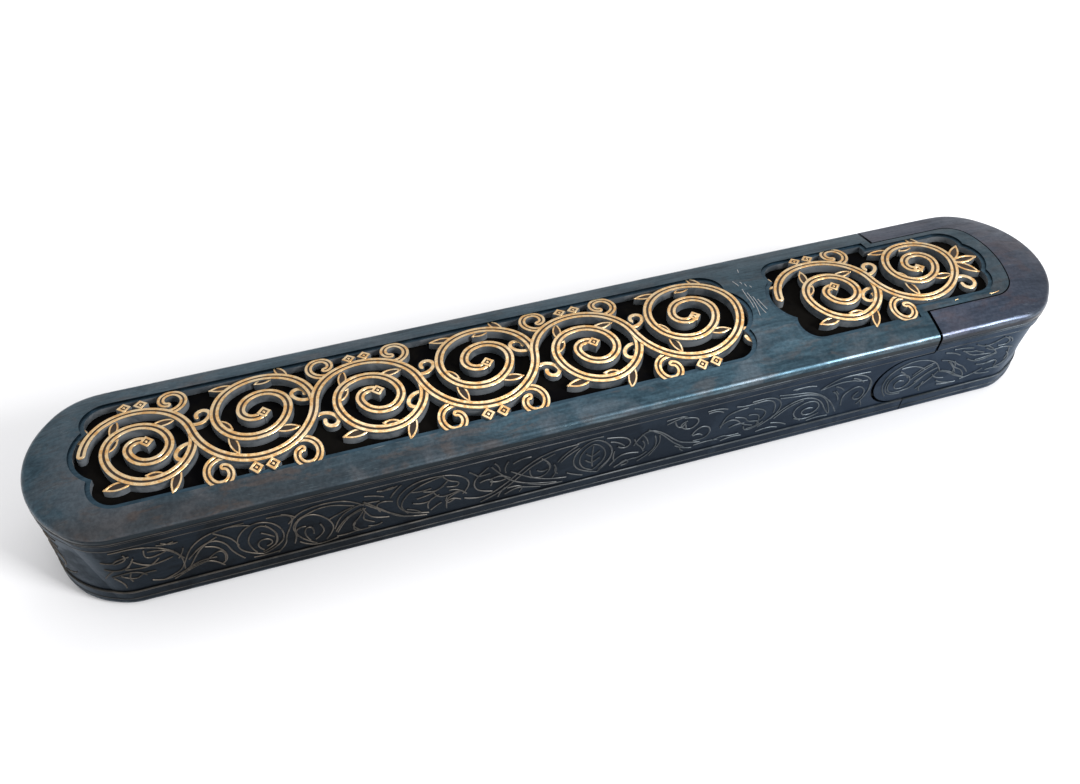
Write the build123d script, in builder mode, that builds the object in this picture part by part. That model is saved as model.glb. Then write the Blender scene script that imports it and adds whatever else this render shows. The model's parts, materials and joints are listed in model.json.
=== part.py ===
from build123d import *
import os
from math import atan2, cos, degrees, radians, sin

# Steel pen box: a sleeve with pierced scroll windows, and a drawer with an ink pot that
# pulls out of its end. Millimetres; X runs towards the drawer end, Z is up, and the
# origin is the middle of the underside.

# Outer form
LENGTH = 240.0
HALF_LENGTH = LENGTH / 2
WIDTH = 40.6
EDGE_HEIGHT = 27.4
CAMBER = 3.2
SIDE_LEAN = 3.25
END_LEAN = 1.5
CORNER_RADIUS = 14.0
END_BOW = 2.2
FOOT_CORNER_RADIUS = 12.3
FOOT_BOW = 3.4
TOP_EDGE_RADIUS = 1.5
FOOT_EDGE_RADIUS = 1.8

# Sheets and plates
TOP_THICKNESS = 2.0
WALL = 1.8
BASE_THICKNESS = 2.2
RIM_HEIGHT = 2.4
PAN_SHEET = 1.0
BACKING_THICKNESS = 0.6

# Shallow band round the walls, where the engraving lies between its mouldings
BAND_DEPTH = 0.3
BAND_LOW_Z = 5.2
BAND_HIGH_Z = 22.2

# Seam between the sleeve and the drawer end, set back from the box's end
SHOULDER_X = HALF_LENGTH - 39.0
STEP_X = HALF_LENGTH - 42.0
TONGUE_END_X = HALF_LENGTH - 13.0
TONGUE_HALF_WIDTH = 13.0
TONGUE_CORNER = 6.0
TONGUE_BOW = 1.0
LOBE_X = HALF_LENGTH - 43.9
LOBE_Z = 13.4
LOBE_RADIUS = 7.9
SHOULDER_GAP = 0.7
LOBE_GAP = 0.8
SEAM_FIT = 0.3
DRAWER_FIT = 0.35

# Windows
WINDOW_BRIDGE = 7.0
LONG_WINDOW_START = 10.8 - HALF_LENGTH
SHORT_WINDOW_START = HALF_LENGTH - 72.4
LONG_WINDOW_END = SHORT_WINDOW_START - WINDOW_BRIDGE
LONG_WINDOW_HALF_WIDTH = 13.7
SHORT_WINDOW_END = HALF_LENGTH - 17.2
SHORT_WINDOW_HALF_WIDTH = 13.2
NARROW_START = HALF_LENGTH - 42.0
NARROW_HALF_WIDTH = 10.6
END_FOIL = 8.0
CORNER_FOIL = 4.8
CORNER_FOIL_SETBACK = 2.8
NARROW_END_FOIL = 6.6
NARROW_CORNER_FOIL = 4.2
NARROW_FOIL_SETBACK = 1.8
PANEL_RIM = 1.0
PANEL_DROP = 0.4
BACKING_LAP = 1.2

# Scroll strokes of the openwork
STEM_SLOPE = 80.0
STROKE = 2.1
CURL_STROKE = 1.8
TENDRIL_STROKE = 1.2
TENDRIL_DROP = 0.9
BUD_SIZE = 2.3
STEM_MARGIN = 1.9
LONG_STEM_START = LONG_WINDOW_START + STEM_MARGIN
LONG_STEM_LENGTH = LONG_WINDOW_END - STEM_MARGIN - LONG_STEM_START
# Half spans of the long scroll's arches, repeated as often as its window holds and stretched to fill it
SPAN_PATTERN = (11.0, 12.8, 11.5, 13.0, 11.7, 13.0)
USUAL_SPAN = 24.3
CHOSEN_SPANS = [SPAN_PATTERN[place % len(SPAN_PATTERN)] for place in range(round(LONG_STEM_LENGTH / USUAL_SPAN))]
LONG_HALF_SPANS = [span * LONG_STEM_LENGTH / (2 * sum(CHOSEN_SPANS)) for span in CHOSEN_SPANS]
LONG_COIL = ((0.80, 180), (0.59, 180), (0.38, 180), (0.20, 150))
SHORT_STEM_START = SHORT_WINDOW_START + 1.8
SHORT_HALF_SPANS = (11.9, 11.1)
SHORT_COIL = ((0.72, 180), (0.52, 180), (0.32, 180), (0.17, 120))
CURL_LEAN = 30.0
CURL_TURNS = ((3.3, 165), (2.2, 160), (1.3, 60))
TENDRIL_LEAN = 60.0
TENDRIL_TURNS = ((3.0, 130), (1.4, 220))
CORNER_LEAN = 48.0
CORNER_TURNS = ((2.8, 120), (1.6, 200))
CROWN_BUD_SPACING = 3.4
CROWN_BUD_RISE = 1.25
FINIAL_LENGTH = 7.0
FINIAL_WIDTH = 2.4
FINIAL_SPREAD = 48.0
# Leaves on a coil: turn of the coil, share along it, angle off it, length, width
LEAVES = (
    (0, 0.35, 30, 6.0, 2.1),
    (0, 0.70, 30, 6.0, 2.1),
    (1, 0.30, 32, 6.0, 2.0),
    (1, 0.70, 32, 5.6, 2.0),
    (0, 0.45, -35, 4.6, 2.0),
    (1, 0.10, -35, 4.6, 2.0),
)

# Drawer fittings
PAN_TOP = 23.4
CROSS_WALL_X = SHOULDER_X + 0.6
CROSS_WALL_TOP = 20.6
DECK_Z = 18.6
DECK_THICKNESS = 1.0
POT_X = HALF_LENGTH - 24.0
POT_RADIUS = 8.5
POT_WALL = 0.8
POT_FLANGE_RADIUS = 10.9
NECK_RADIUS = 6.4
NECK_HEIGHT = 2.2
COLLAR_WIDTH = 0.7
COLLAR_HEIGHT = 0.9
POT_FIT = 0.1
LID_RADIUS = 7.0
LID_THICKNESS = 1.3
LID_ARM_WIDTH = 3.2
LID_BEVEL = 0.4
PIVOT_OFFSET = 9.0
PAD_RADIUS = 6.1
PAD_THICKNESS = 0.5
POST_RADIUS = 1.6
PIN_RADIUS = 0.8
PIN_FIT = 0.06
PIN_HEAD_RADIUS = 1.4
PIN_HEAD_HEIGHT = 0.6
PIN_HEAD_GAP = 0.1
WASHER_RADIUS = 1.9
WASHER_THICKNESS = 0.3
KNOB_RADIUS = 1.5
KNOB_STEM_RADIUS = 0.8
KNOB_STEM_HEIGHT = 0.6

# Planes and radii that follow
HEIGHT = EDGE_HEIGHT + CAMBER
ABOVE = HEIGHT + 1.0
RIM_Z = EDGE_HEIGHT - RIM_HEIGHT
CAMBER_RADIUS = (WIDTH**2 / 4 + CAMBER**2) / (2 * CAMBER)
CAMBER_CENTRE_Z = HEIGHT - CAMBER_RADIUS
CAMBER_END_X = (LENGTH - WIDTH) / 2
DRAWER_SHOULDER_X = SHOULDER_X + SHOULDER_GAP
DRAWER_STEP_X = STEP_X + SEAM_FIT
CROSS_WALL_BACK = CROSS_WALL_X + PAN_SHEET
PAN_FLOOR = BASE_THICKNESS + PAN_SHEET
DECK_TOP = DECK_Z + DECK_THICKNESS
FLANGE_TOP = DECK_TOP + POT_WALL
NECK_TOP = FLANGE_TOP + NECK_HEIGHT
LID_TOP = NECK_TOP + LID_THICKNESS
KNOB_FOOT = LID_TOP + KNOB_STEM_HEIGHT
PIVOT_X = POT_X - PIVOT_OFFSET

os.makedirs("parts", exist_ok=True)


def save(builder, name):
    """Labels a finished piece and writes its file."""
    builder.part.label = name
    export_step(builder.part, f"parts/{name}.step")


def round_ended_plan(half_length, half_width, radius, bow):
    """Plan with straight sides, round corners and ends that bow outwards."""
    corner_y = half_width - radius
    end_radius = (corner_y**2 + bow**2) / (2 * bow) + radius
    end_x = half_length - end_radius
    corner_x = half_length - bow - radius
    join = degrees(atan2(corner_y, corner_x - end_x))
    with BuildSketch() as plan:
        with BuildLine():
            Line((-corner_x, half_width), (corner_x, half_width))
            CenterArc((corner_x, corner_y), radius, 90, join - 90)
            CenterArc((end_x, 0), end_radius, join, -2 * join)
            CenterArc((corner_x, -corner_y), radius, -join, join - 90)
            Line((corner_x, -half_width), (-corner_x, -half_width))
            CenterArc((-corner_x, -corner_y), radius, -90, join - 90)
            CenterArc((-end_x, 0), end_radius, 180 + join, -2 * join)
            CenterArc((-corner_x, corner_y), radius, 180 - join, join - 90)
        make_face()
    return plan.sketch


def leaning_block(inset=0.0):
    """Whole box without its camber, its leaning sides moved inwards by inset."""
    with BuildPart() as block:
        for z in (0.0, ABOVE):
            below = 1 - z / EDGE_HEIGHT
            with BuildSketch(Plane.XY.offset(z)):
                add(
                    round_ended_plan(
                        LENGTH / 2 - END_LEAN * below - inset,
                        WIDTH / 2 - SIDE_LEAN * below - inset,
                        CORNER_RADIUS + (FOOT_CORNER_RADIUS - CORNER_RADIUS) * below - inset,
                        END_BOW + (FOOT_BOW - END_BOW) * below,
                    )
                )
        loft(ruled=True)
    return block.part


def camber_block(depth=0.0):
    """Long round-ended roller whose upper side is the cambered top, lowered by depth."""
    radius = CAMBER_RADIUS - depth
    low_z = CAMBER_CENTRE_Z - radius
    tip_x = CAMBER_END_X + radius
    with BuildPart() as block:
        with BuildSketch(Plane.XZ):
            with BuildLine():
                Line((-CAMBER_END_X, low_z), (CAMBER_END_X, low_z))
                CenterArc((CAMBER_END_X, CAMBER_CENTRE_Z), radius, -90, 90)
                Line((tip_x, CAMBER_CENTRE_Z), (-tip_x, CAMBER_CENTRE_Z))
                CenterArc((-CAMBER_END_X, CAMBER_CENTRE_Z), radius, 180, 90)
            make_face()
        revolve(axis=Axis((0, 0, CAMBER_CENTRE_Z), (1, 0, 0)))
    return block.part


def slab(low, high, start_x=-LENGTH, end_x=LENGTH):
    """Wide block between two heights and two places along the box."""
    with BuildPart() as block:
        with Locations(((start_x + end_x) / 2, 0, (low + high) / 2)):
            Box(end_x - start_x, 2 * WIDTH, high - low)
    return block.part


def plan_block(plan, low=0.0, high=ABOVE):
    """Block that stands on a plan between two heights."""
    with BuildPart() as block:
        with BuildSketch(Plane.XY.offset(low)):
            add(plan)
        extrude(amount=high - low)
    return block.part


def disc(x, radius, low, height, bore=0.0):
    """Upright disc on the box's centre line, with a bore if one is given."""
    with BuildPart() as block:
        with BuildSketch(Plane.XY.offset(low)):
            with Locations((x, 0)):
                Circle(radius)
                if bore:
                    Circle(bore, mode=Mode.SUBTRACT)
        extrude(amount=height)
    return block.part


def tongue_plan(grow=0.0):
    """Plan of the round-ended tongue, from inside the sleeve to its end."""
    half_length = TONGUE_END_X - NARROW_START + grow
    plan = round_ended_plan(half_length, TONGUE_HALF_WIDTH + grow, TONGUE_CORNER + grow, TONGUE_BOW)
    return plan.moved(Location((NARROW_START, 0, 0)))


def drawer_profile(gap, front_gap, shoulder_x):
    """Side view of the drawer end and its round lobe, grown by the gaps, across the whole width."""
    lobe_x = LOBE_X - (front_gap - gap)
    step_x = DRAWER_STEP_X - gap
    with BuildPart() as block:
        with BuildSketch(Plane.XZ.offset(-WIDTH)):
            with Locations(((shoulder_x + LENGTH) / 2, HEIGHT / 2)):
                Rectangle(LENGTH - shoulder_x, HEIGHT + 2)
            with Locations(((step_x + LENGTH) / 2, LOBE_Z / 2 - 1)):
                Rectangle(LENGTH - step_x, LOBE_Z + 2)
            with Locations(((lobe_x + LENGTH) / 2, LOBE_Z)):
                Rectangle(LENGTH - lobe_x, 2 * (LOBE_RADIUS + gap))
            with Locations((lobe_x, LOBE_Z)):
                Circle(LOBE_RADIUS + gap)
        extrude(amount=2 * WIDTH)
    return block.part


def long_window(grow=0.0):
    """Plan of the long window, three-foiled at both ends."""
    start = LONG_WINDOW_START + END_FOIL
    end = LONG_WINDOW_END - END_FOIL
    corner_y = LONG_WINDOW_HALF_WIDTH - CORNER_FOIL
    shift = END_FOIL - CORNER_FOIL - CORNER_FOIL_SETBACK
    with BuildSketch() as window:
        with Locations(((start + end) / 2, 0)):
            Rectangle(end - start, 2 * (LONG_WINDOW_HALF_WIDTH + grow))
        with Locations((start, 0), (end, 0)):
            Circle(END_FOIL + grow)
        for x in (start - shift, end + shift):
            with Locations((x, corner_y), (x, -corner_y)):
                Circle(CORNER_FOIL + grow)
    return window.sketch


def short_window(grow=0.0):
    """Plan of the short window, which grows narrower inside the tongue."""
    start = SHORT_WINDOW_START + END_FOIL
    end = SHORT_WINDOW_END - NARROW_END_FOIL
    wide_x = start - (END_FOIL - CORNER_FOIL - CORNER_FOIL_SETBACK)
    wide_y = SHORT_WINDOW_HALF_WIDTH - CORNER_FOIL
    narrow_x = end + NARROW_END_FOIL - NARROW_CORNER_FOIL - NARROW_FOIL_SETBACK
    narrow_y = NARROW_HALF_WIDTH - NARROW_CORNER_FOIL
    with BuildSketch() as window:
        with Locations(((start + NARROW_START + grow) / 2, 0)):
            Rectangle(NARROW_START + grow - start, 2 * (SHORT_WINDOW_HALF_WIDTH + grow))
        with Locations(((start + narrow_x) / 2, 0)):
            Rectangle(narrow_x - start, 2 * (NARROW_HALF_WIDTH + grow))
        with Locations((start, 0)):
            Circle(END_FOIL + grow)
        with Locations((end, 0)):
            Circle(NARROW_END_FOIL + grow)
        with Locations((wide_x, wide_y), (wide_x, -wide_y)):
            Circle(CORNER_FOIL + grow)
        with Locations((narrow_x, narrow_y), (narrow_x, -narrow_y)):
            Circle(NARROW_CORNER_FOIL + grow)
    return window.sketch


def trail(x, y, heading, turns):
    """Chain of tangent arcs as (centre, radius, start angle, turn); left turns are positive."""
    arcs = []
    for radius, turn in turns:
        side = 1 if turn > 0 else -1
        centre = (x - side * radius * sin(radians(heading)), y + side * radius * cos(radians(heading)))
        start = heading - side * 90
        arcs.append((centre, radius, start, turn))
        x = centre[0] + radius * cos(radians(start + turn))
        y = centre[1] + radius * sin(radians(start + turn))
        heading += turn
    return arcs


def arc_point(arc, share, off=0.0):
    """Point at a share of an arc, off to the left of its direction of travel."""
    centre, radius, start, turn = arc
    reach = radius - off if turn > 0 else radius + off
    angle = radians(start + turn * share)
    return (centre[0] + reach * cos(angle), centre[1] + reach * sin(angle))


def arc_heading(arc, share):
    """Direction of travel at a share of an arc."""
    start, turn = arc[2:]
    return start + turn * share + (90 if turn > 0 else -90)


def stroke_face(arcs, width):
    """Face of a stroke along a chain of arcs, with round ends."""
    half = width / 2
    with BuildSketch() as face:
        with BuildLine():
            for arc in arcs:
                for off in (half, -half):
                    ThreePointArc(*(arc_point(arc, share, off) for share in (0, 0.5, 1)))
            for arc, share, reach in ((arcs[-1], 1, half), (arcs[0], 0, -half)):
                middle = arc_point(arc, share)
                angle = radians(arc_heading(arc, share))
                tip = (middle[0] + reach * cos(angle), middle[1] + reach * sin(angle))
                ThreePointArc(arc_point(arc, share, half), tip, arc_point(arc, share, -half))
        make_face()
    return face.sketch


def leaf_face(x, y, angle, length, width):
    """Pointed leaf between two arcs, its foot at x, y."""
    with BuildSketch() as face:
        with BuildLine():
            ThreePointArc((0, 0), (length / 2, width / 2), (length, 0))
            ThreePointArc((length, 0), (length / 2, -width / 2), (0, 0))
        make_face()
    return face.sketch.moved(Location((x, y, 0), (0, 0, angle)))


def bud_face(x, y):
    """Square bud that stands on its corner."""
    with BuildSketch() as face:
        with Locations((x, y)):
            Rectangle(BUD_SIZE, BUD_SIZE, rotation=45)
    return face.sketch


def stem_arches(start_x, half_spans):
    """Arches of the stem as (middle x, side, radius, far foot x), over and under in turn."""
    arches = []
    foot = start_x
    side = 1
    for half_span in half_spans:
        arches.append((foot + half_span, side, half_span / sin(radians(STEM_SLOPE)), foot + 2 * half_span))
        foot += 2 * half_span
        side = -side
    return arches


def branch(arch, lean, way, turns):
    """Curl that leaves an arch at a lean from its crown, forwards (1) or backwards (-1)."""
    middle, side, radius = arch[:3]
    x = middle + way * radius * sin(radians(lean))
    y = side * radius * (cos(radians(lean)) - cos(radians(STEM_SLOPE)))
    heading = -side * lean if way > 0 else 180 + side * lean
    return trail(x, y, heading, [(reach, way * side * turn) for reach, turn in turns])


def scroll_strokes(start_x, half_spans, coil_turns):
    """Centre lines of a running scroll: its stem, coils, curls and thin tendrils."""
    arches = stem_arches(start_x, half_spans)
    stem_turns = [(radius, -side * 2 * STEM_SLOPE) for _, side, radius, _ in arches]
    coils = []
    for _, side, radius, foot in arches:
        turns = [(radius * share, -side * turn) for share, turn in coil_turns]
        coils.append(trail(foot, 0, -side * STEM_SLOPE, turns))
    curls = [branch(arch, CURL_LEAN, 1, CURL_TURNS) for arch in arches[:-1]]
    curls += [branch(arch, CURL_LEAN, -1, CURL_TURNS) for arch in arches[1:]]
    tendrils = [branch(arch, TENDRIL_LEAN, 1, TENDRIL_TURNS) for arch in arches[:-1]]
    tendrils += [branch(arch, TENDRIL_LEAN, -1, TENDRIL_TURNS) for arch in arches[1:]]
    tendrils.append(branch(arches[0], CORNER_LEAN, -1, CORNER_TURNS))
    tendrils.append(branch(arches[-1], CORNER_LEAN, 1, CORNER_TURNS))
    return trail(start_x, 0, STEM_SLOPE, stem_turns), coils, curls, tendrils


def scroll_leaves(coils):
    """Leaves on the coils as (x, y, angle, length, width)."""
    leaves = []
    for coil in coils:
        side = 1 if coil[0][3] < 0 else -1
        for index, share, angle, length, width in LEAVES:
            x, y = arc_point(coil[index], share)
            leaves.append((x, y, arc_heading(coil[index], share) + side * angle, length, width))
    return leaves


def crown_buds(arches):
    """Places of the pairs of buds that stand on the arches' crowns."""
    places = []
    for middle, side, radius, _ in arches:
        crown = radius * (1 - cos(radians(STEM_SLOPE))) + STROKE / 2
        for shift in (-CROWN_BUD_SPACING / 2, CROWN_BUD_SPACING / 2):
            places.append((middle + shift, side * (crown + CROWN_BUD_RISE)))
    return places


def openwork_plans(window, rim, scroll, leaves, buds):
    """Plans of a pierced panel: its rim and broad scroll, and its thin tendrils."""
    stem, coils, curls, tendrils = scroll
    with BuildSketch() as broad:
        for arcs in [stem] + coils:
            add(stroke_face(arcs, STROKE))
        for arcs in curls:
            add(stroke_face(arcs, CURL_STROKE))
        for leaf in leaves:
            add(leaf_face(*leaf))
        for bud in buds + [arc_point(coil[-1], 1) for coil in coils]:
            add(bud_face(*bud))
        add(window, mode=Mode.INTERSECT)
        add(rim)
    with BuildSketch() as thin:
        for arcs in tendrils:
            add(stroke_face(arcs, TENDRIL_STROKE))
        add(window, mode=Mode.INTERSECT)
    return broad.sketch, thin.sketch


OUTER = leaning_block()
SLEEVE_INSIDE = leaning_block(WALL)
PAN_OUTSIDE = leaning_block(WALL + DRAWER_FIT)
PAN_INSIDE = leaning_block(WALL + DRAWER_FIT + PAN_SHEET)
TOP_ROLLER = camber_block()
PANEL_ROLLER = camber_block(PANEL_DROP)
TENDRIL_ROLLER = camber_block(TENDRIL_DROP)
UNDER_ROLLER = camber_block(TOP_THICKNESS)
BACKING_ROLLER = camber_block(TOP_THICKNESS + BACKING_THICKNESS)

# The cambered top before it is parted into the sleeve's and the drawer's
with BuildPart() as top_blank:
    add(OUTER)
    add(slab(RIM_Z, ABOVE), mode=Mode.INTERSECT)
    add(TOP_ROLLER, mode=Mode.INTERSECT)
    arris = [
        edge
        for edge in top_blank.edges()
        if edge.center().Z > RIM_Z + 1 and (abs(edge.center().Y) > 10 or abs(edge.center().X) > CAMBER_END_X + 6)
    ]
    fillet(arris, TOP_EDGE_RADIUS)

# The base before it is parted
with BuildPart() as base_blank:
    add(OUTER)
    add(slab(0, BASE_THICKNESS), mode=Mode.INTERSECT)
    fillet(base_blank.faces().sort_by(Axis.Z)[0].edges(), FOOT_EDGE_RADIUS)

# The walls before they are hollowed, with the band cut round them
with BuildPart() as band_ring:
    add(slab(BAND_LOW_Z, BAND_HIGH_Z))
    add(leaning_block(BAND_DEPTH), mode=Mode.SUBTRACT)

with BuildPart() as wall_blank:
    add(OUTER)
    add(slab(BASE_THICKNESS, RIM_Z), mode=Mode.INTERSECT)
    add(band_ring.part, mode=Mode.SUBTRACT)

# The hollows under the two tops
with BuildPart() as sleeve_hollow:
    add(SLEEVE_INSIDE)
    add(UNDER_ROLLER, mode=Mode.INTERSECT)

with BuildPart() as drawer_hollow:
    add(PAN_OUTSIDE)
    add(UNDER_ROLLER, mode=Mode.INTERSECT)

with BuildPart() as sleeve_plan:
    add(slab(0, ABOVE, -LENGTH, SHOULDER_X))
    add(plan_block(tongue_plan()))

# Sleeve
with BuildPart() as top_plate:
    add(top_blank.part)
    add(sleeve_hollow.part, mode=Mode.SUBTRACT)
    add(sleeve_plan.part, mode=Mode.INTERSECT)
    add(plan_block(long_window(PANEL_RIM)), mode=Mode.SUBTRACT)
    add(plan_block(short_window(PANEL_RIM)), mode=Mode.SUBTRACT)
save(top_plate, "top_plate")

with BuildPart() as case_walls:
    add(wall_blank.part)
    add(SLEEVE_INSIDE, mode=Mode.SUBTRACT)
    add(drawer_profile(SEAM_FIT, LOBE_GAP, SHOULDER_X), mode=Mode.SUBTRACT)
save(case_walls, "case_walls")

with BuildPart() as base_plate:
    add(base_blank.part)
    add(slab(-1, BASE_THICKNESS + 1, STEP_X, LENGTH), mode=Mode.SUBTRACT)
save(base_plate, "base_plate")

# Openwork panels
LONG_ARCHES = stem_arches(LONG_STEM_START, LONG_HALF_SPANS)
LONG_SCROLL = scroll_strokes(LONG_STEM_START, LONG_HALF_SPANS, LONG_COIL)
LONG_BROAD, LONG_THIN = openwork_plans(
    long_window(PANEL_RIM / 2),
    long_window(PANEL_RIM) - long_window(),
    LONG_SCROLL,
    scroll_leaves(LONG_SCROLL[1]),
    crown_buds(LONG_ARCHES),
)
SHORT_ARCHES = stem_arches(SHORT_STEM_START, SHORT_HALF_SPANS)
SHORT_SCROLL = scroll_strokes(SHORT_STEM_START, SHORT_HALF_SPANS, SHORT_COIL)
FINIAL_ANGLES = (-FINIAL_SPREAD, 0, FINIAL_SPREAD)
FINIAL = [(SHORT_ARCHES[-1][3], 0, angle, FINIAL_LENGTH, FINIAL_WIDTH) for angle in FINIAL_ANGLES]
SHORT_BROAD, SHORT_THIN = openwork_plans(
    short_window(PANEL_RIM / 2),
    short_window(PANEL_RIM) - short_window(),
    SHORT_SCROLL,
    scroll_leaves(SHORT_SCROLL[1]) + FINIAL,
    crown_buds(SHORT_ARCHES[:1]),
)

for name, broad, thin in (("long_openwork", LONG_BROAD, LONG_THIN), ("short_openwork", SHORT_BROAD, SHORT_THIN)):
    with BuildPart() as tendrils:
        add(plan_block(thin, RIM_Z))
        add(TENDRIL_ROLLER, mode=Mode.INTERSECT)
    with BuildPart() as panel:
        add(plan_block(broad, RIM_Z))
        add(PANEL_ROLLER, mode=Mode.INTERSECT)
        add(tendrils.part)
        add(UNDER_ROLLER, mode=Mode.SUBTRACT)
    save(panel, name)

# Dark plates behind the openwork
with BuildPart() as long_backing:
    add(plan_block(long_window(PANEL_RIM + BACKING_LAP), RIM_Z))
    add(UNDER_ROLLER, mode=Mode.INTERSECT)
    add(BACKING_ROLLER, mode=Mode.SUBTRACT)
save(long_backing, "long_backing")

with BuildPart() as short_backing:
    add(plan_block(short_window(PANEL_RIM + BACKING_LAP), RIM_Z))
    add(UNDER_ROLLER, mode=Mode.INTERSECT)
    add(BACKING_ROLLER, mode=Mode.SUBTRACT)
save(short_backing, "short_backing")

# Drawer end
with BuildPart() as cap_top:
    add(top_blank.part)
    add(drawer_hollow.part, mode=Mode.SUBTRACT)
    add(slab(0, ABOVE, DRAWER_SHOULDER_X, LENGTH), mode=Mode.INTERSECT)
    add(plan_block(tongue_plan(SEAM_FIT)), mode=Mode.SUBTRACT)
save(cap_top, "cap_top")

with BuildPart() as cap_walls:
    add(wall_blank.part)
    add(PAN_OUTSIDE, mode=Mode.SUBTRACT)
    add(drawer_profile(0, 0, DRAWER_SHOULDER_X), mode=Mode.INTERSECT)
save(cap_walls, "cap_walls")

with BuildPart() as cap_base:
    add(base_blank.part)
    add(slab(-1, BASE_THICKNESS + 1, DRAWER_STEP_X, LENGTH), mode=Mode.INTERSECT)
save(cap_base, "cap_base")

# Tray
with BuildPart() as pan_hollow:
    add(PAN_INSIDE)
    add(slab(PAN_FLOOR, ABOVE + 1), mode=Mode.INTERSECT)

with BuildPart() as tray_pan:
    add(PAN_OUTSIDE)
    add(slab(BASE_THICKNESS, PAN_TOP), mode=Mode.INTERSECT)
    add(pan_hollow.part, mode=Mode.SUBTRACT)
save(tray_pan, "tray_pan")

with BuildPart() as cross_wall:
    add(PAN_INSIDE)
    add(slab(PAN_FLOOR, CROSS_WALL_TOP, CROSS_WALL_X, CROSS_WALL_BACK), mode=Mode.INTERSECT)
save(cross_wall, "cross_wall")

with BuildPart() as pot_deck:
    add(PAN_INSIDE)
    add(slab(DECK_Z, DECK_TOP, CROSS_WALL_BACK, LENGTH), mode=Mode.INTERSECT)
    add(disc(POT_X, POT_RADIUS + POT_FIT, DECK_Z - 1, DECK_THICKNESS + 2), mode=Mode.SUBTRACT)
save(pot_deck, "pot_deck")

# Ink pot
with BuildPart() as ink_pot:
    with BuildSketch(Plane.XZ):
        with BuildLine():
            Polyline(
                (POT_X, PAN_FLOOR),
                (POT_X + POT_RADIUS, PAN_FLOOR),
                (POT_X + POT_RADIUS, DECK_TOP),
                (POT_X + POT_FLANGE_RADIUS, DECK_TOP),
                (POT_X + POT_FLANGE_RADIUS, FLANGE_TOP),
                (POT_X + NECK_RADIUS, FLANGE_TOP),
                (POT_X + NECK_RADIUS, NECK_TOP),
                (POT_X + NECK_RADIUS - POT_WALL, NECK_TOP),
                (POT_X + NECK_RADIUS - POT_WALL, DECK_TOP),
                (POT_X + POT_RADIUS - POT_WALL, DECK_TOP),
                (POT_X + POT_RADIUS - POT_WALL, PAN_FLOOR + POT_WALL),
                (POT_X, PAN_FLOOR + POT_WALL),
                close=True,
            )
        make_face()
    revolve(axis=Axis((POT_X, 0, 0), (0, 0, 1)))
save(ink_pot, "ink_pot")

with BuildPart() as pot_collar:
    add(disc(POT_X, NECK_RADIUS + COLLAR_WIDTH, FLANGE_TOP, COLLAR_HEIGHT, NECK_RADIUS))
save(pot_collar, "pot_collar")

with BuildPart() as lid_pin:
    add(disc(PIVOT_X, POST_RADIUS, FLANGE_TOP, NECK_HEIGHT - WASHER_THICKNESS))
    add(disc(PIVOT_X, PIN_RADIUS, FLANGE_TOP, NECK_HEIGHT + LID_THICKNESS + PIN_HEAD_GAP))
    add(disc(PIVOT_X, PIN_HEAD_RADIUS, LID_TOP + PIN_HEAD_GAP, PIN_HEAD_HEIGHT))
save(lid_pin, "lid_pin")

with BuildPart() as lid_washer:
    add(disc(PIVOT_X, WASHER_RADIUS, NECK_TOP - WASHER_THICKNESS, WASHER_THICKNESS, PIN_RADIUS + PIN_FIT))
save(lid_washer, "lid_washer")

# Lid of the ink pot
with BuildPart() as ink_lid:
    with BuildSketch(Plane.XY.offset(NECK_TOP)):
        with Locations((POT_X, 0)):
            Circle(LID_RADIUS)
        with Locations(((POT_X + PIVOT_X) / 2, 0)):
            Rectangle(PIVOT_OFFSET, LID_ARM_WIDTH)
        with Locations((PIVOT_X, 0)):
            Circle(LID_ARM_WIDTH / 2)
    extrude(amount=LID_THICKNESS)
    chamfer(ink_lid.faces().sort_by(Axis.Z)[-1].edges(), LID_BEVEL)
    add(disc(POT_X, PAD_RADIUS, NECK_TOP, PAD_THICKNESS), mode=Mode.SUBTRACT)
    add(disc(PIVOT_X, PIN_RADIUS + PIN_FIT, NECK_TOP, LID_THICKNESS), mode=Mode.SUBTRACT)
save(ink_lid, "ink_lid")

with BuildPart() as lid_knob:
    with BuildSketch(Plane.XZ):
        with BuildLine():
            Polyline(
                (POT_X, KNOB_FOOT + KNOB_RADIUS),
                (POT_X, LID_TOP),
                (POT_X + KNOB_STEM_RADIUS, LID_TOP),
                (POT_X + KNOB_STEM_RADIUS, KNOB_FOOT),
                (POT_X + KNOB_RADIUS, KNOB_FOOT),
            )
            CenterArc((POT_X, KNOB_FOOT), KNOB_RADIUS, 0, 90)
        make_face()
    revolve(axis=Axis((POT_X, 0, 0), (0, 0, 1)))
save(lid_knob, "lid_knob")

with BuildPart() as lid_pad:
    add(disc(POT_X, PAD_RADIUS, NECK_TOP, PAD_THICKNESS))
save(lid_pad, "lid_pad")
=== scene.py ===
import bmesh
import bpy
import json
from math import asin, cos, degrees, radians, sin
from mathutils import Matrix, Vector

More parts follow.
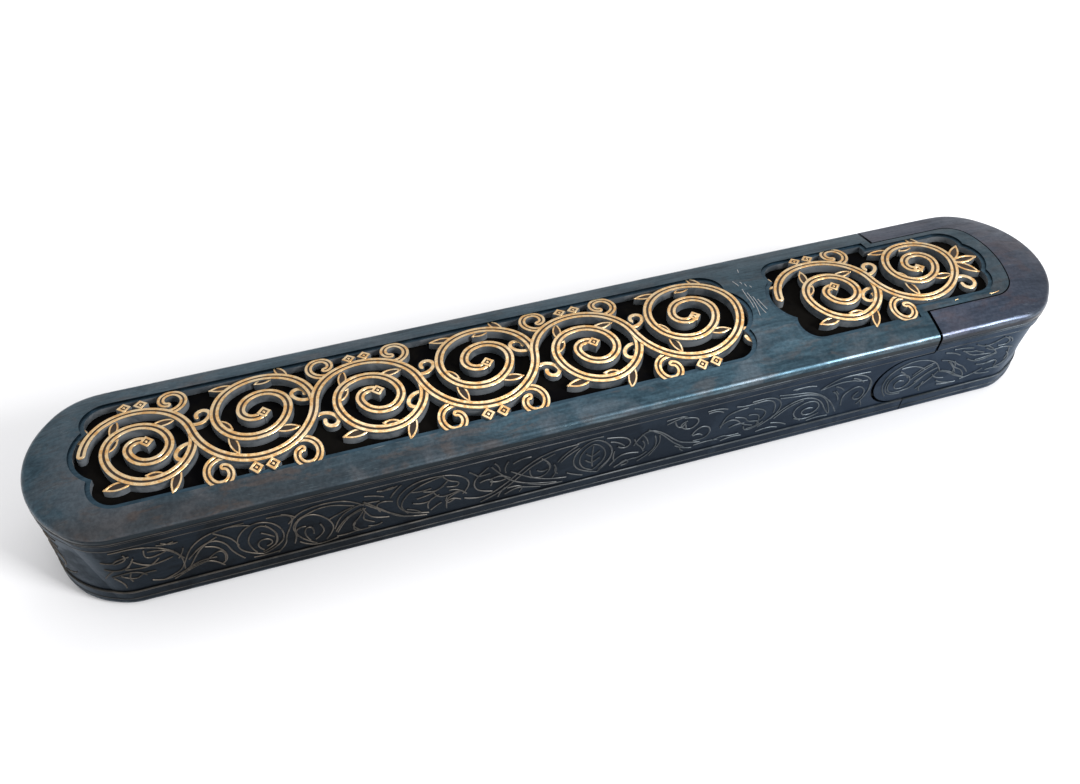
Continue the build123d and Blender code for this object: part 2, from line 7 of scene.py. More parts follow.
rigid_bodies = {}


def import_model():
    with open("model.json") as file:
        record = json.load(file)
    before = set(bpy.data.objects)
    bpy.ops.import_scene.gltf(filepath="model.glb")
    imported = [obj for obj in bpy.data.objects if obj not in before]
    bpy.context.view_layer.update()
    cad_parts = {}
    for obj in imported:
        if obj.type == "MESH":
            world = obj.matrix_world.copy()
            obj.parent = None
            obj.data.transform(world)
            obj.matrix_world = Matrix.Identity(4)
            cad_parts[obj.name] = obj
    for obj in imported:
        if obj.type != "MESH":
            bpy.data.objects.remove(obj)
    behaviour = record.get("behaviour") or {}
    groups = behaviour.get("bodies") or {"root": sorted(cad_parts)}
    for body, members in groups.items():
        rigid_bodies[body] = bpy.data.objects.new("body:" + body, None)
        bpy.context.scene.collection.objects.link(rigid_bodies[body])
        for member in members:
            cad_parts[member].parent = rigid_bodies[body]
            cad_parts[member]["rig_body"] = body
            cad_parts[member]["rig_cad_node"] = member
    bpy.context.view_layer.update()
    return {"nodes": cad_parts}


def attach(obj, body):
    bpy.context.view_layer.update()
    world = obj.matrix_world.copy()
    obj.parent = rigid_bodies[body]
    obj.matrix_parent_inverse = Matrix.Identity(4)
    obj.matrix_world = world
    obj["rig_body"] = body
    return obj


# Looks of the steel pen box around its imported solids. The scene is in metres; the box's
# own measures below are in millimetres, as on its drawing.

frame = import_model()
NODES = frame["nodes"]

# Camera, fitted to the photograph: angles in degrees, distance and shifts in metres
CAMERA_AZIMUTH = -19.647
CAMERA_ELEVATION = 45.739
CAMERA_ROLL = 1.320
CAMERA_DISTANCE = 0.288
CAMERA_RIGHT = 0.0084600
CAMERA_UP = -0.0105000
LENS = 39.830


def aim_camera():
    """Stands the camera where the photograph was taken from."""
    azimuth, elevation, roll = map(radians, (CAMERA_AZIMUTH, CAMERA_ELEVATION, CAMERA_ROLL))
    back = Vector((sin(azimuth) * cos(elevation), -cos(azimuth) * cos(elevation), sin(elevation)))
    level = Vector((cos(azimuth), sin(azimuth), 0))
    rise = back.cross(level)
    right = cos(roll) * level + sin(roll) * rise
    up = -sin(roll) * level + cos(roll) * rise
    bpy.ops.object.camera_add()
    camera = bpy.context.object
    camera.data.lens = LENS
    camera.data.clip_start = 0.01
    place = Matrix((right, up, back)).transposed().to_4x4()
    place.translation = back * CAMERA_DISTANCE - right * CAMERA_RIGHT - up * CAMERA_UP
    camera.matrix_world = place
    bpy.context.scene.camera = camera


def add_node(tree, kind, settings=(), **values):
    """Adds a shader node; values go to its inputs, by number as i0, i1 or by name with spaces as underscores."""
    made = tree.nodes.new(kind)
    for key, value in settings:
        setattr(made, key, value)
    for key, value in values.items():
        numbered = key[0] == "i" and key[1:].isdigit()
        socket = made.inputs[int(key[1:]) if numbered else key.replace("_", " ")]
        if isinstance(value, bpy.types.NodeSocket):
            tree.links.new(value, socket)
        else:
            socket.default_value = value
    return made


def new_finish(name):
    """Empty material with its Principled shader."""
    finish = bpy.data.materials.new(name)
    finish.use_nodes = True
    return finish, finish.node_tree, finish.node_tree.nodes["Principled BSDF"]


def new_effect(name, inputs, outputs=("Mask",)):
    """Node group of an effect that several finishes share: a vector, some numbers, and masks out."""
    effect = bpy.data.node_groups.new(name, "ShaderNodeTree")
    effect.interface.new_socket("Vector", in_out="INPUT", socket_type="NodeSocketVector")
    for socket, value in inputs:
        made = effect.interface.new_socket(socket, in_out="INPUT", socket_type="NodeSocketFloat")
        made.default_value = value
    for socket in outputs:
        effect.interface.new_socket(socket, in_out="OUTPUT", socket_type="NodeSocketFloat")
    return effect, effect.nodes.new("NodeGroupInput"), effect.nodes.new("NodeGroupOutput")


def spread_vector(tree, vector, scale, turn=0.0):
    """Coordinates stretched and turned about Z."""
    settings = (("vector_type", "POINT"),)
    turned = (0, 0, radians(turn))
    return add_node(tree, "ShaderNodeMapping", settings, Vector=vector, Scale=scale, Rotation=turned).outputs[0]


def noise(tree, vector, scale, detail=3.0, roughness=0.5, distortion=0.0):
    """Value of a noise texture."""
    made = add_node(tree, "ShaderNodeTexNoise", Vector=vector, Scale=scale, Detail=detail, Roughness=roughness)
    made.inputs["Distortion"].default_value = distortion
    return made.outputs["Fac"]


def limits(tree, value, low, high, start=0.0, end=1.0):
    """Smooth step of a value between two limits."""
    settings = (("interpolation_type", "SMOOTHSTEP"),)
    made = add_node(tree, "ShaderNodeMapRange", settings)
    tree.links.new(value, made.inputs["Value"])
    for socket, number in (("From Min", low), ("From Max", high), ("To Min", start), ("To Max", end)):
        if isinstance(number, bpy.types.NodeSocket):
            tree.links.new(number, made.inputs[socket])
        else:
            made.inputs[socket].default_value = number
    return made.outputs["Result"]


def calculate(tree, operation, first, second):
    """Result of one operation on two values."""
    return add_node(tree, "ShaderNodeMath", (("operation", operation),), i0=first, i1=second).outputs[0]


def multiply(tree, *factors):
    """Product of two or more values."""
    product = factors[0]
    for factor in factors[1:]:
        product = calculate(tree, "MULTIPLY", product, factor)
    return product


def blend_colours(tree, mask, under, over, mode="MIX"):
    """Mixes two colours by a mask; a colour may be three numbers."""
    made = tree.nodes.new("ShaderNodeMix")
    made.data_type = "RGBA"
    made.blend_type = mode
    for socket, value in ((0, mask), (6, under), (7, over)):
        if isinstance(value, bpy.types.NodeSocket):
            tree.links.new(value, made.inputs[socket])
        else:
            made.inputs[socket].default_value = value if socket == 0 else (*value, 1)
    return made.outputs[2]


def use_effect(tree, effect, vector, **numbers):
    """Outputs of a shared effect at a vector, with its numbers set."""
    made = tree.nodes.new("ShaderNodeGroup")
    made.node_tree = effect
    tree.links.new(vector, made.inputs["Vector"])
    for name, number in numbers.items():
        made.inputs[name.replace("_", " ")].default_value = number
    return made.outputs


def make_streaks():
    """Soft streaks left by polishing along the box."""
    effect, given, result = new_effect("polishing streaks", (("Fineness", 1.0), ("Strength", 1.0)))
    vector, fineness = given.outputs["Vector"], given.outputs["Fineness"]
    wide = noise(effect, spread_vector(effect, vector, (60, 210, 210), 4), fineness, 6.0, 0.7, 1.2)
    fine = noise(effect, spread_vector(effect, vector, (120, 1300, 1300)), fineness, 3.0, 0.6)
    both = calculate(effect, "ADD", multiply(effect, wide, 0.7), multiply(effect, fine, 0.3))
    mask = multiply(effect, limits(effect, both, 0.3, 0.7), given.outputs["Strength"])
    effect.links.new(mask, result.inputs["Mask"])
    return effect


def make_mottling():
    """Uneven patches of the heat-blued skin."""
    effect, given, result = new_effect("mottling", (("Size", 60.0), ("Threshold", 0.5)))
    patches = noise(effect, given.outputs["Vector"], given.outputs["Size"], 5.0, 0.62, 0.4)
    high = calculate(effect, "ADD", given.outputs["Threshold"], 0.16)
    effect.links.new(limits(effect, patches, given.outputs["Threshold"], high), result.inputs["Mask"])
    return effect


def make_scratches():
    """Hair-fine scratches and nicks that cross at low angles."""
    effect, given, result = new_effect("hair scratches", (("Amount", 0.5),))
    masks = []
    for turn, length in ((7, 60), (-24, 120), (62, 260)):
        lines = noise(effect, spread_vector(effect, given.outputs["Vector"], (length, 3600, 1200), turn), 1.0, 2.0, 0.5)
        masks.append(limits(effect, lines, 0.68, 0.8))
    where = limits(effect, noise(effect, given.outputs["Vector"], 90.0, 2.0), 0.45, 0.62)
    most = calculate(effect, "MAXIMUM", calculate(effect, "MAXIMUM", *masks[:2]), masks[2])
    mask = multiply(effect, most, where, given.outputs["Amount"])
    effect.links.new(mask, result.inputs["Mask"])
    return effect


STREAKS = make_streaks()
MOTTLING = make_mottling()
SCRATCHES = make_scratches()


def object_place(tree):
    """Object coordinates and their three numbers."""
    place = tree.nodes.new("ShaderNodeTexCoord").outputs["Object"]
    return place, add_node(tree, "ShaderNodeSeparateXYZ", Vector=place).outputs


def raise_grain(tree, shader, height, distance):
    """Lets a value stand out as a fine grain of the surface."""
    bump = add_node(tree, "ShaderNodeBump", Height=height, Distance=distance, Strength=0.5)
    tree.links.new(bump.outputs["Normal"], shader.inputs["Normal"])


# Heights of the worn arris under the top, which also carries a painted highlight, and of the engraved band's two edges,
# in metres
ARRIS_Z = 0.0264
BAND_TOP_Z = 0.022
BAND_FOOT_Z = 0.0053
BAND_SOFTNESS = 0.0002


def make_blued_steel(name, colours, roughness, browned):
    """Heat-blued top: streaked blue, greyer patches, brown traces, fine scratches, a worn arris with a painted
    highlight that grows towards the right, and painted shade on the front strip towards the left.
    """
    deep, light, grey, brown, bright = colours
    finish, tree, shader = new_finish(name)
    place, (x, y, z) = object_place(tree)
    streaks = use_effect(tree, STREAKS, place, Fineness=1.0)["Mask"]
    patches = use_effect(tree, MOTTLING, place, Size=55.0, Threshold=0.45)["Mask"]
    drawn_out = spread_vector(tree, place, (0.6, 1.4, 1.4))
    traces = use_effect(tree, MOTTLING, drawn_out, Size=190.0, Threshold=browned)["Mask"]
    scratches = use_effect(tree, SCRATCHES, place, Amount=0.55)["Mask"]
    rubbed = multiply(
        tree,
        limits(tree, x, -0.09, 0.02, 0.85, 0.4),
        limits(tree, y, 0.004, 0.014, 1.0, 0.5),
        limits(tree, x, -0.119, -0.104, 0.2, 1.0),
    )
    # Painted light: this mask grows towards the right-hand end, where the lamps' light falls; it scales the painted
    # arris highlight and the arris's polish
    lit = limits(tree, x, -0.09, 0.02, 0.15, 1.0)
    colour = blend_colours(tree, streaks, deep, light)
    colour = blend_colours(tree, multiply(tree, patches, rubbed), colour, grey)
    colour = blend_colours(tree, multiply(tree, traces, rubbed), colour, brown)
    # Painted shade: the front strip darker and browner towards the left-hand end
    painted_shade_front_left = multiply(tree, limits(tree, x, -0.11, 0.01, 0.6, 0.0), limits(tree, y, -0.019, -0.011, 1.0, 0.0))
    colour = blend_colours(tree, painted_shade_front_left, colour, [0.7 * part for part in brown])
    colour = blend_colours(tree, scratches, colour, bright)
    # Painted highlight: a brighter band along the worn arris, stronger towards the right
    edge = limits(tree, z, ARRIS_Z + 0.0002, ARRIS_Z + 0.0012, 1.0, 0.0)
    edge = multiply(tree, edge, limits(tree, streaks, 0.2, 0.8))
    colour = blend_colours(tree, multiply(tree, edge, multiply(tree, lit, 0.3)), colour, bright)
    speckle = limits(tree, noise(tree, place, 1300.0, 2.0, 0.6), 0.35, 0.65, 0.0, 0.45)
    colour = blend_colours(tree, speckle, colour, (0.55, 0.56, 0.58), "MULTIPLY")
    below = limits(tree, z, ARRIS_Z - 0.0004, ARRIS_Z + 0.0002, 1.0, 0.0)
    colour = blend_colours(tree, below, colour, [part / 3 for part in deep])
    tree.links.new(colour, shader.inputs["Base Color"])
    shader.inputs["Metallic"].default_value = 1.0
    polish = limits(tree, streaks, 0.0, 1.0, roughness + 0.1, roughness - 0.06)
    worn = limits(tree, z, ARRIS_Z + 0.0004, ARRIS_Z + 0.0016, 0.1, 0.0)
    polish = calculate(tree, "SUBTRACT", polish, multiply(tree, worn, lit))
    tree.links.new(polish, shader.inputs["Roughness"])
    raise_grain(tree, shader, calculate(tree, "SUBTRACT", streaks, scratches), 0.00005)
    return finish


def make_dark_steel(name, deep, light, brown, painted_light_right, roughness):
    """Dark steel: near black, with brown and blue patches and faint streaks, and painted bluish light added towards the
    right-hand end.
    """
    finish, tree, shader = new_finish(name)
    place, (x, _, _) = object_place(tree)
    streaks = use_effect(tree, STREAKS, place, Fineness=0.8)["Mask"]
    patches = use_effect(tree, MOTTLING, place, Size=70.0, Threshold=0.44)["Mask"]
    scratches = use_effect(tree, SCRATCHES, place, Amount=0.5)["Mask"]
    colour = blend_colours(tree, streaks, deep, light)
    colour = blend_colours(tree, multiply(tree, patches, 0.6), colour, brown)
    # Painted light: a bluish lift added towards the right-hand end, where the lamps' light falls
    colour = blend_colours(tree, limits(tree, x, -0.06, 0.12), colour, painted_light_right, "ADD")
    colour = blend_colours(tree, scratches, colour, [3 * part for part in light])
    tree.links.new(colour, shader.inputs["Base Color"])
    shader.inputs["Metallic"].default_value = 1.0
    shader.inputs["Specular Tint"].default_value = (0.86, 0.93, 1.0, 1)
    tree.links.new(limits(tree, patches, 0.0, 1.0, roughness, roughness + 0.15), shader.inputs["Roughness"])
    raise_grain(tree, shader, streaks, 0.00003)
    return finish


def make_worn(name, fresh, stained, metallic, roughness, size, grain):
    """Finish of two tones in uneven patches with a fine grain: brass, leather, the near-black backing whose black is
    partly painted shade, and grooves.
    """
    finish, tree, shader = new_finish(name)
    place, _ = object_place(tree)
    patches = use_effect(tree, MOTTLING, place, Size=size, Threshold=0.42)["Mask"]
    fine = noise(tree, place, 9 * size, 3.0, 0.6)
    colour = blend_colours(tree, patches, fresh, stained)
    colour = blend_colours(tree, limits(tree, fine, 0.4, 0.75, 0.0, 0.35), colour, [0.6 * part for part in stained])
    tree.links.new(colour, shader.inputs["Base Color"])
    shader.inputs["Metallic"].default_value = metallic
    tree.links.new(limits(tree, patches, 0.0, 1.0, roughness, min(1.0, roughness + 0.18)), shader.inputs["Roughness"])
    shader.inputs["Specular IOR Level"].default_value = 0.0 if roughness > 0.85 else 0.4
    raise_grain(tree, shader, fine, grain)
    return finish


def make_cut_steel():
    """Steel of the pierced panels: blued like the top above, bare grey-blue on the sawn walls."""
    finish, tree, shader = new_finish("cut steel")
    place, _ = object_place(tree)
    streaks = use_effect(tree, STREAKS, place, Fineness=2.0)["Mask"]
    patches = use_effect(tree, MOTTLING, place, Size=160.0, Threshold=0.45)["Mask"]
    upward = add_node(tree, "ShaderNodeSeparateXYZ", Vector=tree.nodes.new("ShaderNodeNewGeometry").outputs["Normal"])
    top = limits(tree, upward.outputs["Z"], 0.6, 0.85)
    walls = blend_colours(tree, patches, (0.17, 0.185, 0.2), (0.085, 0.1, 0.115))
    colour = blend_colours(tree, top, walls, blend_colours(tree, streaks, (0.02, 0.036, 0.05), (0.045, 0.08, 0.11)))
    tree.links.new(colour, shader.inputs["Base Color"])
    tree.links.new(limits(tree, top, 0.0, 1.0, 0.3, 1.0), shader.inputs["Metallic"])
    shader.inputs["Roughness"].default_value = 0.42
    raise_grain(tree, shader, patches, 0.00003)
    return finish


def make_gold():
    """Hammered gold wire, pale where it is rubbed and redder in its hollows."""
    finish, tree, shader = new_finish("inlaid gold")
    place, _ = object_place(tree)
    beaten = noise(tree, place, 900.0, 3.0, 0.6)
    tarnish = use_effect(tree, MOTTLING, place, Size=230.0, Threshold=0.47)["Mask"]
    colour = blend_colours(tree, limits(tree, beaten, 0.35, 0.65), (0.6, 0.34, 0.13), (0.79, 0.575, 0.32))
    colour = blend_colours(tree, multiply(tree, tarnish, 0.55), colour, (0.73, 0.61, 0.42))
    tree.links.new(colour, shader.inputs["Base Color"])
    shader.inputs["Metallic"].default_value = 1.0
    tree.links.new(limits(tree, beaten, 0.3, 0.7, 0.42, 0.26), shader.inputs["Roughness"])
    raise_grain(tree, shader, beaten, 0.00012)
    return finish


def make_relief_steel():
    """Raised lines of the engraving: brownish grey, with painted light making them bluer and lighter to the right, dim
    on the mouldings, light on the top.
    """
    finish, tree, shader = new_finish("relief steel")
    place, (x, _, z) = object_place(tree)
    rubbed = use_effect(tree, MOTTLING, place, Size=150.0, Threshold=0.42)["Mask"]
    # Painted light: the lines bluer and lighter towards the right-hand end
    painted_cool_light_right = limits(tree, x, -0.08, 0.06)
    warm = blend_colours(tree, rubbed, (0.05, 0.045, 0.039), (0.108, 0.093, 0.077))
    cool = blend_colours(tree, rubbed, (0.066, 0.08, 0.092), (0.115, 0.135, 0.152))
    colour = blend_colours(tree, painted_cool_light_right, warm, cool)
    above = limits(tree, z, BAND_TOP_Z - BAND_SOFTNESS, BAND_TOP_Z + BAND_SOFTNESS)
    below = limits(tree, z, BAND_FOOT_Z - BAND_SOFTNESS, BAND_FOOT_Z + BAND_SOFTNESS, 1.0, 0.0)
    moulding = multiply(tree, calculate(tree, "MAXIMUM", above, below), limits(tree, z, 0.026, 0.027, 0.6, 0.0))
    colour = blend_colours(tree, moulding, colour, (0.03, 0.033, 0.036))
    colour = blend_colours(tree, limits(tree, z, 0.0268, 0.0274), colour, (0.42, 0.42, 0.43))
    tree.links.new(colour, shader.inputs["Base Color"])
    shader.inputs["Metallic"].default_value = 1.0
    tree.links.new(limits(tree, rubbed, 0.0, 1.0, 0.56, 0.46), shader.inputs["Roughness"])
    return finish


def dress(piece, finish):
    """Gives a piece or a CAD node its finish."""
    piece.data.materials.clear()
    piece.data.materials.append(finish)


# Blues as (deep, light, grey, brown, bright); brown also tints the painted shade at the front left, and bright serves
# both the scratches and the painted highlight on the arris
SLEEVE_BLUES = ((0.022, 0.041, 0.056), (0.056, 0.1, 0.13), (0.12, 0.136, 0.155), (0.1, 0.086, 0.082), (0.2, 0.27, 0.3))
CAP_BLUES = ((0.034, 0.044, 0.066), (0.08, 0.097, 0.135), (0.1, 0.096, 0.122), (0.1, 0.075, 0.082), (0.22, 0.27, 0.3))
BLUED = make_blued_steel("blued steel", SLEEVE_BLUES, 0.34, 0.49)
CAP_BLUED = make_blued_steel("cap steel", CAP_BLUES, 0.36, 0.47)
SIDE = make_dark_steel(
    "dark wall steel",
    deep=(0.0024, 0.0038, 0.006),
    light=(0.0055, 0.0085, 0.0135),
    brown=(0.0055, 0.005, 0.0048),
    painted_light_right=(0.0115, 0.0215, 0.0395),
    roughness=0.38,
)
# Backing under the openwork: a near-black, shineless sheet that also stands in for the shade inside the box
BACKING_WITH_PAINTED_SHADE = make_worn("near-black backing, part painted shade", (0.003, 0.003, 0.0035), (0.0055, 0.005, 0.0045), 0.0, 0.9, 120.0, 0.00002)
CUT = make_cut_steel()
RELIEF = make_relief_steel()
TRAY = make_dark_steel(
    "tray steel",
    deep=(0.05, 0.05, 0.05),
    light=(0.1, 0.1, 0.098),
    brown=(0.082, 0.074, 0.065),
    painted_light_right=(0.0, 0.002, 0.005),
    roughness=0.45,
)
BRASS = make_worn("aged brass", (0.5, 0.33, 0.14), (0.26, 0.17, 0.085), 1.0, 0.3, 110.0, 0.00002)
LEATHER = make_worn("pad leather", (0.09, 0.046, 0.027), (0.045, 0.024, 0.016), 0.0, 0.7, 260.0, 0.00015)
for finish, names in (
    (BLUED, ("top_plate",)),
    (CAP_BLUED, ("cap_top",)),
    (SIDE, ("case_walls", "cap_walls", "base_plate", "cap_base")),
    (CUT, ("long_openwork", "short_openwork")),
    (BACKING_WITH_PAINTED_SHADE, ("long_backing", "short_backing")),
    (TRAY, ("tray_pan", "cross_wall", "pot_deck")),
    (BRASS, ("ink_pot", "pot_collar", "lid_pin", "lid_washer", "ink_lid", "lid_knob")),
    (LEATHER, ("lid_pad",)),
):
    for name in names:
        dress(NODES[name], finish)


# The openwork's scroll, laid out as in the part's source, in millimetres
STEM_SLOPE = 80.0
LONG_START = -107.3
LONG_HALF_SPANS = (11.0, 12.8, 11.5, 13.0, 11.7, 13.0)
LONG_COIL = ((0.80, 180), (0.59, 180), (0.38, 180), (0.20, 150))
SHORT_START = 49.4
SHORT_HALF_SPANS = (11.9, 11.1)
SHORT_COIL = ((0.72, 180), (0.52, 180), (0.32, 180), (0.17, 120))
CURL_LEAN = 30.0
CURL_TURNS = ((3.3, 165), (2.2, 160), (1.3, 60))
TENDRIL_LEAN = 60.0
TENDRIL_TURNS = ((3.0, 130), (1.4, 220))
CORNER_LEAN = 48.0
CORNER_TURNS = ((2.8, 120), (1.6, 200))
LEAVES = (
    (0, 0.35, 30, 6.0, 2.1),
    (0, 0.70, 30, 6.0, 2.1),
    (1, 0.30, 32, 6.0, 2.0),
    (1, 0.70, 32, 5.6, 2.0),
    (0, 0.45, -35, 4.6, 2.0),
    (1, 0.10, -35, 4.6, 2.0),
)
FINIAL = (7.0, 2.4, (-48, 0, 48))
CROWN_BUD_SHIFT = 1.7
CROWN_BUD_RISE = 2.3

# The cambered top: a roller of this radius, its axis below the floor
CAMBER_RADIUS = 65.988
CAMBER_CENTRE_Z = -35.388
CAMBER_END_X = 99.7

# Inlay, millimetres; levels are heights over the camber, so that one stroke passes over another
TENDRIL_LEVEL = -0.9
LEAF_LEVEL = -0.39
CURL_LEVEL = -0.26
COIL_LEVEL = -0.12
STEM_LEVEL = 0.02
BUD_LEVEL = 0.03
FACE_DEPTH = 0.6
GROOVE_RELIEF = 0.02
GROOVE_THICKNESS = 0.05
GOLD_RELIEF = 0.12
GOLD_THICKNESS = 0.16
GOLD_BEVEL = 0.06
GOLD_MARGIN = 0.05
LEAF_LENGTH = 6.0
LEAF_WIDTH = 2.1
LEAF_LINE = 0.42
BUD_SIZE = 2.3
BUD_RING = 0.52
BUD_PIP = 0.55
# Longest step along an arc and widest step of its turn, in degrees
STEP_LENGTH = 0.7
STEP_ANGLE = 10.0
# Points closer than this are one; flat pieces are lifted by this before they are laid on the camber
WELD = 0.01
LIFT = 60
# Edges sharper than these, in degrees, are softened or kept sharp
BEVEL_ANGLE = 60
SMOOTH_ANGLE = 40
# Half widths of the strokes, and of the groove between their gold lines
TENDRIL_HALF_WIDTH = 0.55
CURL_HALF_WIDTH = 0.85
STROKE_HALF_WIDTH = 1.0
CURL_GROOVE = 0.2
STROKE_GROOVE = 0.26
GROOVE_OVERLAP = 0.05


def trail(x, y, heading, turns):
    """Chain of arcs, each as (centre x, centre y, radius, start angle, turn); left turns are positive."""
    arcs = []
    for radius, turn in turns:
        side = 1 if turn > 0 else -1
        cx = x - side * radius * sin(radians(heading))
        cy = y + side * radius * cos(radians(heading))
        start = heading - side * 90
        arcs.append((cx, cy, radius, start, turn))
        x = cx + radius * cos(radians(start + turn))
        y = cy + radius * sin(radians(start + turn))
        heading += turn
    return arcs


def on_arc(arc, share):
    """Place and heading at a share of an arc."""
    cx, cy, radius, start, turn = arc
    angle = radians(start + turn * share)
    return cx + radius * cos(angle), cy + radius * sin(angle), start + turn * share + (90 if turn > 0 else -90)


def stem_arches(foot, half_spans):
    """Arches of the stem as (middle x, side, radius, far foot x)."""
    arches = []
    side = 1
    for half_span in half_spans:
        arches.append((foot + half_span, side, half_span / sin(radians(STEM_SLOPE)), foot + 2 * half_span))
        foot += 2 * half_span
        side = -side
    return arches


def branch(arch, lean, way, turns):
    """Curl that leaves an arch at a lean from its crown."""
    middle, side, radius, _ = arch
    x = middle + way * radius * sin(radians(lean))
    y = side * radius * (cos(radians(lean)) - cos(radians(STEM_SLOPE)))
    heading = -side * lean if way > 0 else 180 + side * lean
    return trail(x, y, heading, [(reach, way * side * turn) for reach, turn in turns])


def lay_out_scroll(start, half_spans, coil_turns):
    """Stem, coils, curls and tendrils of one panel."""
    arches = stem_arches(start, half_spans)
    stem = trail(start, 0, STEM_SLOPE, [(radius, -side * 2 * STEM_SLOPE) for _, side, radius, _ in arches])
    coils = [
        trail(foot, 0, -side * STEM_SLOPE, [(radius * share, -side * turn) for share, turn in coil_turns])
        for _, side, radius, foot in arches
    ]
    curls = [branch(arch, CURL_LEAN, 1, CURL_TURNS) for arch in arches[:-1]]
    curls += [branch(arch, CURL_LEAN, -1, CURL_TURNS) for arch in arches[1:]]
    tendrils = [branch(arch, TENDRIL_LEAN, 1, TENDRIL_TURNS) for arch in arches[:-1]]
    tendrils += [branch(arch, TENDRIL_LEAN, -1, TENDRIL_TURNS) for arch in arches[1:]]
    tendrils.append(branch(arches[0], CORNER_LEAN, -1, CORNER_TURNS))
    tendrils.append(branch(arches[-1], CORNER_LEAN, 1, CORNER_TURNS))
    return arches, stem, coils, curls, tendrils


def select_only(*pieces):
    """Selects these objects and no other; the first is the active one."""
    bpy.ops.object.select_all(action="DESELECT")
    for piece in pieces:
        piece.select_set(True)
    bpy.context.view_layer.objects.active = pieces[0]


def copy_of(piece):
    """Copy of a piece, with a mesh of its own."""
    select_only(piece)
    bpy.ops.object.duplicate(linked=False)
    return bpy.context.object


def begin_piece(name):
    """Opens a new piece in edit mode, with nothing in it yet."""
    bpy.ops.object.select_all(action="DESELECT")
    bpy.ops.mesh.primitive_plane_add(size=1)
    piece = bpy.context.object
    piece.name = name
    bpy.ops.object.mode_set(mode="EDIT")
    bpy.ops.mesh.select_mode(type="VERT")
    bpy.ops.mesh.delete(type="VERT")
    return piece


def select_where(piece, wanted):
    """Selects the vertices of the open piece that are wanted."""
    shape = bmesh.from_edit_mesh(piece.data)
    for vertex in shape.verts:
        vertex.select = wanted(vertex)
    shape.select_flush_mode()
    bmesh.update_edit_mesh(piece.data)


def add_section(piece, x, y, heading, low, high):
    """Adds the small plane that a strip starts from and leaves its front edge selected."""
    width = high - low
    ahead = Vector((cos(radians(heading)), sin(radians(heading)), 0))
    left = Vector((-ahead.y, ahead.x, 0))
    start = Vector((x, y, 0))
    middle = start + left * (low + high) / 2 - ahead * width / 2
    bpy.ops.mesh.primitive_plane_add(size=width, location=middle, rotation=(0, 0, radians(heading)))
    select_where(piece, lambda vertex: vertex.select and (vertex.co - middle).dot(ahead) > 0)


def sweep(cx, cy, turn, reach):
    """Spins the selected edge about a centre, left turns positive."""
    steps = max(2, round(abs(turn) / STEP_ANGLE), round(radians(abs(turn)) * reach / STEP_LENGTH))
    bpy.ops.mesh.spin(steps=steps, angle=radians(abs(turn)), center=(cx, cy, 0), axis=(0, 0, -1 if turn > 0 else 1))


def lay_line(piece, arcs, low, high, round_end=False):
    """Lays a flat strip beside a chain of arcs, between two offsets to its left; it may turn back round the end."""
    add_section(piece, *on_arc(arcs[0], 0), low, high)
    for cx, cy, radius, _, turn in arcs:
        sweep(cx, cy, turn, radius)
    if round_end:
        x, y, _ = on_arc(arcs[-1], 1)
        sweep(x, y, -180, (low + high) / 2)


def lay_band(piece, arcs, half_width, round_end=True):
    """Lays a flat band along a chain of arcs, as two halves that meet on its centre line."""
    lay_line(piece, arcs, 0, half_width, round_end)
    lay_line(piece, arcs, -half_width, 0)


def backwards(arcs):
    """The same chain of arcs, travelled from its end."""
    return [(cx, cy, radius, start + turn, -turn) for cx, cy, radius, start, turn in reversed(arcs)]


def drape(piece, height):
    """Closes a flat piece and lays it on the camber at a height above it."""
    bpy.ops.mesh.select_all(action="SELECT")
    bpy.ops.mesh.remove_doubles(threshold=WELD)
    shape = bmesh.from_edit_mesh(piece.data)
    for face in shape.faces:
        face.select = face.normal.z < 0
    bmesh.update_edit_mesh(piece.data)
    bpy.ops.mesh.flip_normals()
    bpy.ops.mesh.select_all(action="SELECT")
    bpy.ops.transform.translate(value=(0, 0, LIFT))
    bpy.ops.object.mode_set(mode="OBJECT")
    wrap = piece.modifiers.new("drape", "SHRINKWRAP")
    wrap.target = CAMBER_GUIDE
    wrap.wrap_method = "PROJECT"
    wrap.use_project_z = True
    wrap.use_positive_direction = False
    wrap.use_negative_direction = True
    wrap.offset = height
    bpy.ops.object.modifier_apply(modifier=wrap.name)


def thicken(piece, thickness, bevel=0.0):
    """Gives a draped piece its thickness, downwards, and softens its edges."""
    solid = piece.modifiers.new("thickness", "SOLIDIFY")
    solid.thickness = thickness
    solid.offset = -1
    bpy.ops.object.modifier_apply(modifier=solid.name)
    if bevel:
        soften = piece.modifiers.new("soft edges", "BEVEL")
        soften.width = bevel
        soften.segments = 1
        soften.limit_method = "ANGLE"
        soften.angle_limit = radians(BEVEL_ANGLE)
        bpy.ops.object.modifier_apply(modifier=soften.name)


def finish_piece(piece, finish, body):
    """Brings a piece from millimetres to metres, gives it its finish and lets it ride on its body."""
    select_only(piece)
    piece.scale = (0.001, 0.001, 0.001)
    bpy.ops.object.transform_apply(location=True, rotation=True, scale=True)
    bpy.ops.object.shade_smooth_by_angle(angle=radians(SMOOTH_ANGLE))
    dress(piece, finish)
    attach(piece, body)


def make_camber_guide():
    """Long roller with round ends that the inlay is laid on; it is taken away afterwards."""
    bpy.ops.object.select_all(action="DESELECT")
    bpy.ops.mesh.primitive_cylinder_add(
        vertices=720, radius=CAMBER_RADIUS, depth=2 * CAMBER_END_X,
        location=(0, 0, CAMBER_CENTRE_Z), rotation=(0, radians(90), 0), end_fill_type="NOTHING",
    )
    guide = bpy.context.object
    for end in (-CAMBER_END_X, CAMBER_END_X):
        bpy.ops.mesh.primitive_uv_sphere_add(
            segments=256, ring_count=128, radius=CAMBER_RADIUS, location=(end, 0, CAMBER_CENTRE_Z)
        )
        select_only(guide, bpy.context.object)
        bpy.ops.object.join()
    guide.name = "camber guide"
    return guide


